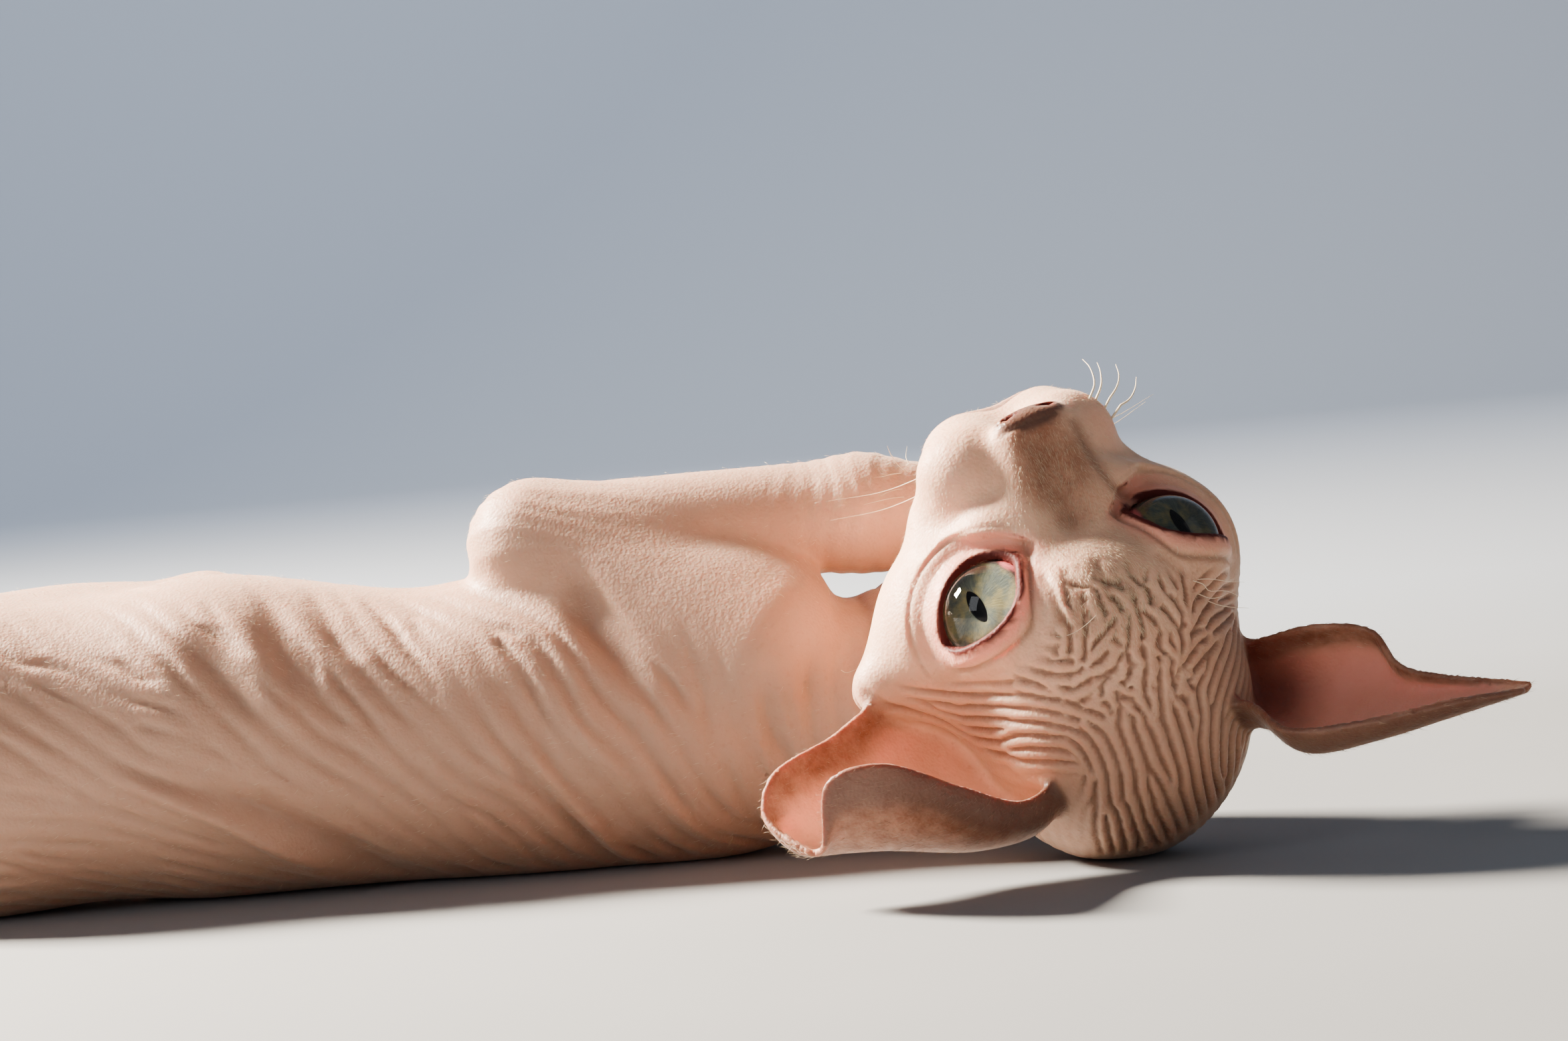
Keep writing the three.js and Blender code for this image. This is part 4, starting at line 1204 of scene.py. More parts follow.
# bridge, nose leather, muzzle and mouth
for place, size in markings["bridgeBrown"]:
    away = np.sqrt(((local - place) ** 2).sum(1))
    brown = np.maximum(brown, smooth(-away, -size * 1.15, -size * 0.5) * onHead * markings["noseBrown"])
flat = (local[:, [0, 2]] - markings["leather"]["middle"]) / markings["leather"]["half"]
oval = smooth(1 - np.sqrt(flat[:, 0] ** 2 + flat[:, 1] ** 2), -0.04, 0.1)
leather = np.maximum(leather, oval * smooth(local[:, 1], 34.5, 36))
for place, size in markings["muzzlePink"]:
    away = np.sqrt(((local - place) ** 2).sum(1))
    pink = np.maximum(pink, smooth(-away, -size, 0) * 0.5)
lips = smooth(-np.abs(partingAt(local)), -1.3, -0.3) * smooth(local[:, 1], 15, 19) * onHead * markings["lips"]
nostrilAway = np.minimum(nostrils[-1](local), nostrils[1](local))
# painted shade inside the nostril grooves
nostrilShade = smooth(-nostrilAway, -0.4, 0.1) * onHead

# paws, with dark pads under them
for limb in limbs.values():
    at = pawPlaces(limb)
    away = np.sqrt(((places - at(9, 0, 1)) ** 2).sum(1))
    pink = np.maximum(pink, smooth(-away, -22, -8) * markings["pawPink"])
    under = smooth((places - at(8, 0, 0)) @ unit(limb["down"]), 2.2, 4.0) * smooth(-away, -15, -11)
    leather = np.maximum(leather, under * markings["padDark"])

# the body and the crown are painted darker: on the body partly its own browner tone and partly painted shade,
# on the crown mostly painted shade
tan = np.maximum(smooth(np.linalg.norm(local, axis=1), 40, 80), 0.95 * smooth(-local[:, 1], -15, 3))
tan = tan * (1 - 0.6 * pink) * (1 - onEar)
for name, values in (("pink", pink), ("brown", brown), ("tan", tan), ("leather", leather), ("sunk", sunk),
                     # one layer holds the lids' dark rim, partly painted shade, and the painted shade in the
                     # nostrils
                     ("lips", lips), ("lidRim", np.maximum(lidRimDarkAndShade, nostrilShade))):
    addAttribute(skin.data, name, np.clip(values, 0, 1))
print("skin marked")

# Materials


def newMaterial(name):
    paint = bpy.data.materials.new(name)
    paint.use_nodes = True
    tree = paint.node_tree
    return paint, tree, tree.nodes["Principled BSDF"]


def feed(node, inputs):
    # another node's socket is linked, and a plain value is set
    for name, value in inputs.items():
        if isinstance(value, bpy.types.NodeSocket):
            node.id_data.links.new(value, node.inputs[name])
        else:
            node.inputs[name].default_value = value


def addNode(tree, kind, settings=None, inputs=None):
    node = tree.nodes.new(kind)
    for name, value in (settings or {}).items():
        setattr(node, name, value)
    feed(node, inputs or {})
    return node


def attribute(tree, name):
    return addNode(tree, "ShaderNodeAttribute", {"attribute_name": name}).outputs["Fac"]


def mixed(tree, amount, first, second):
    # two colours, or colour sockets, mixed by an amount
    inputs = {0: amount, 6: first, 7: second}
    return addNode(tree, "ShaderNodeMix", {"data_type": "RGBA"}, inputs).outputs[2]


def sums(tree, operation, first, second):
    return addNode(tree, "ShaderNodeMath", {"operation": operation}, {0: first, 1: second}).outputs[0]


def times(tree, value, factor):
    return sums(tree, "MULTIPLY", value, factor)


def noise(tree, coordinates, scale, detail=3, roughness=0.55):
    node = addNode(tree, "ShaderNodeTexNoise", inputs={
        "Vector": coordinates, "Scale": scale, "Detail": detail, "Roughness": roughness})
    return node.outputs["Fac"]


def spread(tree, value, low, high, toLow=0.0, toHigh=1.0):
    node = addNode(tree, "ShaderNodeMapRange", {"clamp": True}, {
        "Value": value, "From Min": low, "From Max": high, "To Min": toLow, "To Max": toHigh})
    return node.outputs["Result"]


skinLook = {"light": (0.80, 0.49, 0.335, 1), "deep": (0.55, 0.285, 0.18, 1), "pink": (0.76, 0.29, 0.21, 1),
            # the crease colour is painted shade for creases, folds and lines
            "brown": (0.19, 0.062, 0.027, 1), "crease": (0.24, 0.10, 0.058, 1),
            "leather": (0.13, 0.06, 0.04, 1),
            # the dark red of the ear's hollow is painted shade
            # the lid rim colour is partly the lid's own dark margin and partly painted shade, and is the
            # painted shade of the nostrils
            "sunk": (0.19, 0.02, 0.018, 1), "lips": (0.20, 0.09, 0.07, 1), "lidRim": (0.075, 0.012, 0.01, 1),
            # the tan colour is partly the body's browner tone and partly painted shade, mostly painted shade
            # on the crown
            "freckle": (0.36, 0.17, 0.10, 1), "tan": (0.43, 0.245, 0.168, 1)}


def paintSkin():
    paint, tree, surface = newMaterial("barePinkSkin")
    coordinates = addNode(tree, "ShaderNodeTexCoord").outputs["Object"]
    broad = spread(tree, noise(tree, coordinates, 55, 4), 0.36, 0.66)
    mottle = spread(tree, noise(tree, coordinates, 340, 3, 0.6), 0.38, 0.66)
    specks = spread(tree, noise(tree, coordinates, 900, 2, 0.5), 0.60, 0.72)
    patchy = spread(tree, noise(tree, coordinates, 260, 4, 0.65), 0.25, 0.62, 0.62, 1.0)
    colour = mixed(tree, times(tree, broad, 0.62), skinLook["light"], skinLook["deep"])
    # laid over one another from the first to the last
    for name, amount in (
            ("deep", times(tree, mottle, 0.28)),
            # a browner tone with painted shade over the body, and painted shade over the crown
            ("tan", times(tree, attribute(tree, "tan"), 0.8)),
            ("freckle", times(tree, specks, 0.22)),
            ("pink", times(tree, attribute(tree, "pink"), spread(tree, broad, 0, 1, 1, 0.8))),
            ("brown", times(tree, attribute(tree, "brown"), patchy)),
            # painted shade in the creases, folds and lines
            ("crease", times(tree, attribute(tree, "crease"), 0.82)),
            ("lips", attribute(tree, "lips")),
            ("leather", attribute(tree, "leather")),
            # painted shade, tinted red, in the ear's deep hollow
            ("sunk", times(tree, attribute(tree, "sunk"), 0.85)),
            # dark lid rims, partly painted shade, and painted shade in the nostrils
            ("lidRim", attribute(tree, "lidRim"))):
        colour = mixed(tree, amount, colour, skinLook[name])
    wet = times(tree, attribute(tree, "leather"), 0.55)
    cells = addNode(tree, "ShaderNodeTexVoronoi", {"feature": "SMOOTH_F1"}, {
        "Vector": coordinates, "Scale": 1500, "Smoothness": 0.6}).outputs["Distance"]
    grain = sums(tree, "ADD", cells, times(tree, noise(tree, coordinates, 2600, 3), 0.8))
    lines = sums(tree, "ADD", grain, times(tree, noise(tree, coordinates, 420, 4, 0.6), 1.6))
    bump = addNode(tree, "ShaderNodeBump", inputs={"Height": lines, "Strength": 0.38, "Distance": 0.00022})
    feed(surface, {
        "Base Color": colour,
        "Roughness": spread(tree, sums(tree, "SUBTRACT", mottle, times(tree, wet, 2.2)), -2, 1, 0.22, 0.62),
        "Subsurface Weight": 0.55,
        "Subsurface Radius": (1.0, 0.36, 0.2),
        "Subsurface Scale": 0.0026,
        "Sheen Weight": spread(tree, attribute(tree, "lidRim"), 0, 1, 0.14, 0),
        "Sheen Roughness": 0.4,
        "Sheen Tint": (1.0, 0.9, 0.78, 1),
        "Specular IOR Level": spread(tree, attribute(tree, "lidRim"), 0, 1, 0.36, 0.1),
        "Normal": bump.outputs["Normal"]})
    return paint


skinPaint = paintSkin()
skin.data.materials.clear()
skin.data.materials.append(skinPaint)
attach(skin, "root")
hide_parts(*[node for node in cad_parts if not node.startswith("eye")])

# Eyes: a clear ball with a bulging front, and inside it the iris round a hole for the pupil

iris = {"rings": 26, "spokes": 96, "rimForward": 5.55, "holeForward": 6.35, "pupilLong": 3.0,
        "pupilWide": 1.15, "wellDepth": 1.2, "whiteGap": 0.25}
cornea = {"spokes": 64, "rimSoft": 0.006}


def eyeAxes(side):
    # the animal's upward direction and the way the eye looks
    gaze = unit(eye["gazeRight"] if side > 0 else eye["gazeLeft"])
    upward = unit(np.array([0, -0.25, 1.0]) - gaze * (gaze @ (0, -0.25, 1.0)))
    return np.cross(upward, gaze), upward, gaze


def ballProfile(radius, bulgeRadius, bulgeForward):
    # from the front of the bulge round to the back of the ball
    meet = (radius ** 2 - bulgeRadius ** 2 + bulgeForward ** 2) / (2 * bulgeForward)
    frontTurn = math.acos((meet - bulgeForward) / bulgeRadius)
    backTurn = math.acos(meet / radius)
    front = [(bulgeRadius * math.sin(t), bulgeForward + bulgeRadius * math.cos(t))
             for t in np.r_[np.linspace(0, frontTurn, 22)[:-1], frontTurn - cornea["rimSoft"], frontTurn]]
    back = [(radius * math.sin(t), radius * math.cos(t))
            for t in np.r_[backTurn + cornea["rimSoft"], np.linspace(backTurn, math.pi, 34)[1:]]]
    return front + back


def smoothed(mesh):
    for polygon in mesh.polygons:
        polygon.use_smooth = True
    return mesh


def circleOf(spokes):
    turns = np.linspace(0, 2 * math.pi, spokes, endpoint=False)
    return np.c_[np.cos(turns), np.sin(turns)]


def ringMesh(name, rings):
    # rings of points joined into a surface, with one point at each end
    spokes = len(rings[1])
    places = [rings[0][0]] + [p for ring in rings[1:-1] for p in ring] + [rings[-1][0]]
    faces = []
    for s in range(spokes):
        t = (s + 1) % spokes
        faces.append((0, 1 + s, 1 + t))
        last = 1 + (len(rings) - 3) * spokes
        faces.append((last + t, last + s, len(places) - 1))
    mesh = bmesh.new()
    knots = [mesh.verts.new(p) for p in places]
    for face in faces:
        mesh.faces.new([knots[i] for i in face])
    for r in range(len(rings) - 3):
        for s in range(spokes):
            t = (s + 1) % spokes
            a, b = 1 + r * spokes, 1 + (r + 1) * spokes
            mesh.faces.new([knots[a + s], knots[b + s], knots[b + t], knots[a + t]])
    bmesh.ops.recalc_face_normals(mesh, faces=mesh.faces)
    data = bpy.data.meshes.new(name)
    mesh.to_mesh(data)
    mesh.free()
    return inScene(name, smoothed(data))


def makeCornea(side, name):
    across, upward, gaze = eyeAxes(side)
    circle = circleOf(cornea["spokes"])
    flat = circle[:, :1] * across + circle[:, 1:] * upward
    profile = ballProfile(eye["radius"], eye["corneaRadius"], eye["corneaForward"])
    return ringMesh(name, [toFrame(fromHead(eyeCentre(side) + gaze * ahead + radius * flat))
                           for radius, ahead in profile])


def makeIris(side, name):
    # front to back: the well of the pupil, the iris, then the white of the ball
    across, upward, gaze = eyeAxes(side)
    centre = eyeCentre(side)
    circle = circleOf(iris["spokes"])
    slit = circle * (iris["pupilWide"], iris["pupilLong"])
    slit[:, 0] *= np.abs(circle[:, 0]) ** 0.25
    reach = eye["radius"] - iris["whiteGap"]
    rimRadius = math.sqrt(reach ** 2 - iris["rimForward"] ** 2)
    rings, tints = [], []

    def add(flat, ahead, tint):
        rings.append(centre + gaze * ahead + flat[:, :1] * across + flat[:, 1:] * upward)
        tints.append(np.full(iris["spokes"], tint))

    deep = iris["holeForward"] - iris["wellDepth"]
    add(slit * 0.001, deep, 0.0)
    for share in (0.4, 0.8, 1.05):
        add(slit * share, deep, 0.0)
    add(slit * 1.02, iris["holeForward"] - 0.12, 0.02)
    for ring in range(iris["rings"] + 1):
        share = ring / iris["rings"]
        flat = slit * (1 - share) + circle * rimRadius * share
        ahead = iris["holeForward"] * (1 - share) + iris["rimForward"] * share
        ahead += 0.22 * math.sin(math.pi * min(share * 2.2, 1)) - 0.25 * share * (1 - share)
        add(flat, ahead, 0.05 + 0.85 * share)
    for turn in np.linspace(math.acos(iris["rimForward"] / reach), math.pi - 0.02, 24)[1:]:
        add(circle * reach * math.sin(turn), reach * math.cos(turn), 1.0)
    add(circle * 0.001, -reach, 1.0)
    piece = ringMesh(name, [toFrame(fromHead(ring)) for ring in rings])
    # the two ends are one knot each
    addAttribute(piece.data, "outward", np.concatenate([tints[0][:1], *tints[1:-1], tints[-1][:1]]))
    here = toHead(numbersOf(piece.data.vertices, "co", 3, float) / mm - bodyShift) - centre
    addAttribute(piece.data, "flat", np.c_[here @ across, here @ upward, np.zeros(len(here))], "FLOAT_VECTOR")
    towardNose, overEye, outOfEye = lidAxes(side)
    corner = unit(towardNose * 9.6 + overEye * (-2.2 + lidRaise[side]) + outOfEye * 5.2)
    away = np.linalg.norm(here / (np.linalg.norm(here, axis=1, keepdims=True) + 1e-9) - corner, axis=1)
    addAttribute(piece.data, "cornerPink", smooth(-away, -0.30, -0.18))
    return piece


irisLook = {"green": (0.072, 0.084, 0.064, 1), "olive": (0.15, 0.132, 0.055, 1),
            "grey": (0.034, 0.044, 0.044, 1), "rim": (0.022, 0.012, 0.012, 1),
            "corner": (0.52, 0.12, 0.13, 1), "pupil": (0.002, 0.002, 0.003, 1)}


def paintIris():
    paint, tree, surface = newMaterial("greyGreenIris")
    flat = addNode(tree, "ShaderNodeAttribute", {"attribute_name": "flat"}).outputs["Vector"]
    outward = attribute(tree, "outward")
    parts = addNode(tree, "ShaderNodeSeparateXYZ", inputs={"Vector": flat})
    turn = sums(tree, "ARCTAN2", parts.outputs["Y"], parts.outputs["X"])
    spoke = addNode(tree, "ShaderNodeCombineXYZ", inputs={
        "X": sums(tree, "SINE", turn, 0), "Y": sums(tree, "COSINE", turn, 0),
        "Z": times(tree, outward, 0.35)})
    fibres = noise(tree, spoke.outputs["Vector"], 15, 5, 0.7)
    patches = noise(tree, flat, 0.28, 4, 0.6)
    flecks = noise(tree, flat, 2.2, 3, 0.6)
    colour = mixed(tree, spread(tree, fibres, 0.35, 0.68), irisLook["grey"], irisLook["green"])
    for name, amount in (
            ("olive", times(tree, spread(tree, patches, 0.45, 0.62), 0.75)),
            ("grey", times(tree, spread(tree, flecks, 0.55, 0.75), 0.5)),
            ("rim", spread(tree, outward, 0.74, 0.92)),
            ("pupil", spread(tree, outward, 0.035, 0.02)),
            ("corner", attribute(tree, "cornerPink"))):
        colour = mixed(tree, amount, colour, irisLook[name])
    bump = addNode(tree, "ShaderNodeBump", inputs={"Height": fibres, "Strength": 0.5, "Distance": 0.0003})
    feed(surface, {"Base Color": colour, "Roughness": 0.8, "Specular IOR Level": 0.05,
                   "Normal": bump.outputs["Normal"]})
    return paint


def paintCornea():
    paint, tree, surface = newMaterial("clearCornea")
    feed(surface, {"Base Color": (1, 1, 1, 1), "Transmission Weight": 1.0, "Roughness": 0.0, "IOR": 1.37})
    return paint


irisPaint, corneaPaint = paintIris(), paintCornea()
for side, name in ((-1, "Left"), (1, "Right")):
    inner, outer = makeIris(side, "iris" + name), makeCornea(side, "cornea" + name)
    inner.data.materials.append(irisPaint)
    outer.data.materials.append(corneaPaint)
    outer.visible_shadow = False
    for piece in (inner, outer):
        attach(piece, "root")
        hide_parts("eye_" + name.lower())
print("eyes made")

# Hairs. Points on the skin carry each hair's direction and size; one strand is set on every point
# and made real. Each strand is laid at its root's place on an unwrap of head and body, in the uv layer
# OFBake.

hairs = {"bridge": 6800, "brow": 2600, "earRims": 4200, "face": 5600, "body": 12000, "sink": 0.12, "seed": 21}


def strandMesh(name, sides, levels, radius, bend):
    # a tapering strand one unit tall that bends toward +x
    places, faces = [], [tuple(range(sides))[::-1]]
    for level in range(levels):
        share = level / levels
        for side in range(sides):
            turn = 2 * math.pi * side / sides
            width = radius * (1 - share) ** 0.8
            places.append((width * math.cos(turn) + bend * share ** 2, width * math.sin(turn), share))
    for level in range(levels - 1):
        for side in range(sides):
            a, b = level * sides + side, level * sides + (side + 1) % sides
            faces.append((a, b, b + sides, a + sides))
    last = (levels - 1) * sides
    places.append((bend, 0, 1))
    faces += [(last + side, last + (side + 1) % sides, len(places) - 1) for side in range(sides)]
    mesh = bpy.data.meshes.new(name)
    mesh.from_pydata(places, [], faces)
    return inScene(name, smoothed(mesh))


def namedValue(tree, name, kind):
    node = addNode(tree, "GeometryNodeInputNamedAttribute", {"data_type": kind}, {"Name": name})
    return node.outputs["Attribute"]


def newTree(name, inputs):
    tree = bpy.data.node_groups.new(name, "GeometryNodeTree")
    tree.interface.new_socket("Geometry", in_out="INPUT", socket_type="NodeSocketGeometry")
    sockets = {label: tree.interface.new_socket(label, in_out="INPUT", socket_type=kind).identifier
               for label, kind in inputs.items()}
    tree.interface.new_socket("Geometry", in_out="OUTPUT", socket_type="NodeSocketGeometry")
    return tree, sockets, tree.nodes.new("NodeGroupInput"), tree.nodes.new("NodeGroupOutput")


def finishTree(tree, shape, source, target):
    real = addNode(tree, "GeometryNodeRealizeInstances", inputs={"Geometry": shape})
    painted = addNode(tree, "GeometryNodeSetMaterial", inputs={
        "Geometry": real.outputs["Geometry"], "Material": source.outputs["paint"]})
    tree.links.new(painted.outputs["Geometry"], target.inputs["Geometry"])


def scatterTree():
    tree, sockets, source, target = newTree(
        "strandsOnPoints", {"strand": "NodeSocketObject", "paint": "NodeSocketMaterial"})
    strand = addNode(tree, "GeometryNodeObjectInfo", inputs={"Object": source.outputs["strand"]})
    upright = addNode(tree, "FunctionNodeAlignRotationToVector", {"axis": "Z"}, {
        "Vector": namedValue(tree, "aim", "FLOAT_VECTOR")})
    leaning = addNode(tree, "FunctionNodeAlignRotationToVector", {"axis": "X", "pivot_axis": "Z"}, {
        "Rotation": upright.outputs["Rotation"], "Vector": namedValue(tree, "lean", "FLOAT_VECTOR")})
    placed = addNode(tree, "GeometryNodeInstanceOnPoints", inputs={
        "Points": source.outputs["Geometry"], "Instance": strand.outputs["Geometry"],
        "Rotation": leaning.outputs["Rotation"], "Scale": namedValue(tree, "size", "FLOAT")})
    finishTree(tree, placed.outputs["Instances"], source, target)
    return tree, sockets


def threadTree():
    tree, sockets, source, target = newTree("threadsAlongEdges", {"paint": "NodeSocketMaterial"})
    lines = addNode(tree, "GeometryNodeMeshToCurve", inputs={"Mesh": source.outputs["Geometry"]})
    ring = addNode(tree, "GeometryNodeCurvePrimitiveCircle", inputs={"Resolution": 6, "Radius": 1.0})
    tubes = addNode(tree, "GeometryNodeCurveToMesh", inputs={
        "Curve": lines.outputs["Curve"], "Profile Curve": ring.outputs["Curve"],
        "Scale": namedValue(tree, "size", "FLOAT"), "Fill Caps": True})
    finishTree(tree, tubes.outputs["Mesh"], source, target)
    return tree, sockets


def carrierOf(name, places, edges, values):
    mesh = bpy.data.meshes.new(name)
    mesh.from_pydata([tuple(p) for p in places], edges, [])
    for label, data in values.items():
        addAttribute(mesh, label, data, "FLOAT_VECTOR" if np.ndim(data) == 2 else "FLOAT")
    return inScene(name, mesh)


def madeReal(carrier, tree, settings, nodes):
    modifier = carrier.modifiers.new("shape", "NODES")
    modifier.node_group = tree
    for identifier, value in settings.items():
        modifier[identifier] = value
    asPlainMesh(carrier)
    layOnUnwrap(carrier.data)
    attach(carrier, "root")
    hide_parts(*nodes)


unwrap = {"headReach": 75, "tailEnd": -330, "length": 400, "headMiddle": 0.25, "bodyMiddle": 0.75,
          "half": 0.23, "strand": 0.003}


def unwrapOf(roots):
    # the head round its own nose line in the left half, the body round its trunk in the right half
    body = roots / mm - bodyShift
    local = toHead(body)
    onBody = np.linalg.norm(local, axis=1) > unwrap["headReach"]
    roundBody = np.arctan2(body[:, 2] - trunkMap["z"], trunkMap["y"] - body[:, 1])
    roundHead = np.arctan2(local[:, 0], local[:, 2])
    u = np.where(onBody, unwrap["bodyMiddle"] + unwrap["half"] * roundBody / math.pi,
                 unwrap["headMiddle"] + unwrap["half"] * roundHead / math.pi)
    v = np.where(onBody, (body[:, 0] - unwrap["tailEnd"]) / unwrap["length"],
                 (local[:, 1] + unwrap["headReach"]) / (2 * unwrap["headReach"]))
    return np.c_[u, np.clip(v, 0.01, 0.98)]


def layOnUnwrap(mesh):
    # each strand covers a small patch at its root's place
    roots = numbersOf(mesh.attributes["root"].data, "vector", 3)
    away = np.linalg.norm(numbersOf(mesh.vertices, "co", 3) - roots, axis=1)
    patch = np.c_[away / (away.max() + 1e-9), (np.arange(len(away)) % 3) / 3] * unwrap["strand"]
    uv = unwrapOf(roots.astype(float)) + patch
    corners = numbersOf(mesh.loops, "vertex_index", 1, np.int32)[:, 0]
    layer = mesh.uv_layers.new(name="OFBake")
    layer.data.foreach_set("uv", uv[corners].astype(np.float32).ravel())


skin.data.calc_loop_triangles()
triangleCorners = numbersOf(skin.data.loop_triangles, "vertices", 3, np.int32)
skinKnots = np.array([v.co for v in skin.data.vertices])
knotNormals = np.array([v.normal for v in skin.data.vertices])
skinTree = BVHTree.FromPolygons([Vector(p) for p in skinKnots], triangleCorners.tolist())


def rootsOn(weights, count, seed):
    # places on the skin, closer together where the weights are higher
    a, b, c = (skinKnots[triangleCorners[:, corner]] for corner in range(3))
    chance = np.linalg.norm(np.cross(b - a, c - a), axis=1) * weights[triangleCorners].mean(1)
    draw = np.random.default_rng(seed)
    chosen = draw.choice(len(triangleCorners), count, p=chance / chance.sum())
    s, t = draw.random((2, count, 1))
    folded = s + t > 1
    s, t = np.where(folded, 1 - s, s), np.where(folded, 1 - t, t)
    places = (1 - s - t) * a[chosen] + s * b[chosen] + t * c[chosen]
    knots = triangleCorners[chosen, 0]
    return places, knotNormals[knots], knots, draw


def fuzzPoints(weights, count, seed, lieOf, rise, length, pale):
    # hairs that lean from the normal toward the way the coat lies
    roots, normals, knot, draw = rootsOn(weights, count, seed)
    lie = lieOf(roots)
    lie = lie - normals * (lie * normals).sum(1, keepdims=True)
    lie /= np.linalg.norm(lie, axis=1, keepdims=True) + 1e-9
    aim = normals * rise + lie * (1 - rise) + draw.normal(0, 0.16, roots.shape)
    aim /= np.linalg.norm(aim, axis=1, keepdims=True)
    size = draw.uniform(length[0], length[1], count) * mm
    tint = np.clip(brown[knot] * (1 - pale) + draw.normal(0, 0.08, count), 0, 1)
    return {"place": roots - normals * hairs["sink"] * mm, "aim": aim, "lean": lie, "size": size,
            "root": roots, "tint": tint}


def joined(groups):
    return {key: np.concatenate([group[key] for group in groups]) for key in groups[0]}


def towardCrown(roots):
    return np.tile(headAxes @ np.array([0, -1.0, 0.25]), (len(roots), 1))


def awayFromHead(roots):
    return roots / mm - bodyShift - fromHead([0, -4, 4])


def towardTail(roots):
    return np.tile([-1.0, 0.15, -0.2], (len(roots), 1))


hairLook = {"pale": (0.80, 0.64, 0.44, 1), "brown": (0.17, 0.07, 0.035, 1), "claw": (0.78, 0.66, 0.52, 1)}


def paintHair():
    paint, tree, surface = newMaterial("paleFuzz")
    colour = mixed(tree, attribute(tree, "tint"), hairLook["pale"], hairLook["brown"])
    feed(surface, {"Base Color": colour, "Roughness": 0.45})
    return paint


def paintClaw():
    paint, tree, surface = newMaterial("hornClaw")
    feed(surface, {"Base Color": hairLook["claw"], "Roughness": 0.3, "Subsurface Weight": 0.3,
                   "Subsurface Scale": 0.001})
    return paint


hairPaint, clawPaint = paintHair(), paintClaw()
scatter, scatterSockets = scatterTree()
thread, threadSockets = threadTree()
shortHair = strandMesh("shortHair", 3, 2, 0.021, 0.28)
clawShape = strandMesh("clawShape", 7, 6, 0.20, 0.42)


def scatterPiece(name, points, strand, paint, nodes):
    values = {key: points[key] for key in points if key != "place"}
    carrier = carrierOf(name, points["place"], [], values)
    settings = {scatterSockets["strand"]: strand, scatterSockets["paint"]: paint}
    madeReal(carrier, scatter, settings, nodes)
    return carrier


# how thickly the hairs stand on each knot of the skin
faceLine = hump(local[:, 0] - 1.6, 7.5) * smooth(local[:, 1], 15, 20) * smooth(local[:, 2], -15, -9)
notLids = smooth(edge, 2.5, 5.5)
noLeather = 1 - np.clip(leather * 3, 0, 1)
bridgeDown = faceLine * notLids * noLeather * onHead
browLine = hump(local[:, 0] - 2, 8) * smooth(local[:, 1], 13, 18) * smooth(-local[:, 1], -28, -23)
browDown = browLine * notLids * onHead
earRim = onEar * np.clip(brown * 1.5 - 0.25, 0, 1)
peach = onHead * smooth(edge, 0.8, 2.0) * noLeather * smooth(local[:, 1], 12, 24)
headFuzz = scatterPiece("headFuzz", joined([
    fuzzPoints(bridgeDown, hairs["bridge"], hairs["seed"], towardCrown, 0.22, (0.9, 1.9), 0.65),
    fuzzPoints(browDown, hairs["brow"], hairs["seed"] + 4, towardCrown, 0.2, (1.0, 2.1), 1.0),
    fuzzPoints(earRim, hairs["earRims"], hairs["seed"] + 1, awayFromHead, 0.3, (0.9, 2.0), 0.25),
    fuzzPoints(peach, hairs["face"], hairs["seed"] + 2, towardCrown, 0.4, (0.6, 1.2), 0.9)]),
    shortHair, hairPaint, ["head", "ear_left", "ear_right"])
headSide = np.linalg.norm(local, axis=1)
bodyDown = smooth(headSide, 50, 75) * smooth(places[:, 2], 0.5, 3) * noLeather
bodyFuzz = scatterPiece("bodyFuzz", fuzzPoints(
    bodyDown, hairs["body"], hairs["seed"] + 3, towardTail, 0.35, (0.8, 1.7), 0.9),
    shortHair, hairPaint, ["neck", "chest", "belly", "rump"])
print("fuzz set:", len(headFuzz.data.polygons) + len(bodyFuzz.data.polygons), "faces")

# Claws at the ends of the toes
clawPoints = {key: [] for key in ("place", "aim", "lean", "size", "root", "tint")}
for name, limb in limbs.items():
    at = pawPlaces(limb)
    along, down = at(1, 0, 0) - at(0, 0, 0), at(0, 0, 1) - at(0, 0, 0)
    for aside, reach in toeEnds():
        root = toFrame(at(reach + paws["clawAhead"], aside * paws["apart"], paws["clawDown"]))
        for key, value in (("place", root), ("root", root), ("aim", unit(along + 0.1 * down)), ("lean", down),
                           ("size", paws["claw"] * mm), ("tint", 0.0)):
            clawPoints[key].append(value)
scatterPiece("claws", {key: np.array(value) for key, value in clawPoints.items()}, clawShape, clawPaint,
             [name + "_paw" for name in limbs])

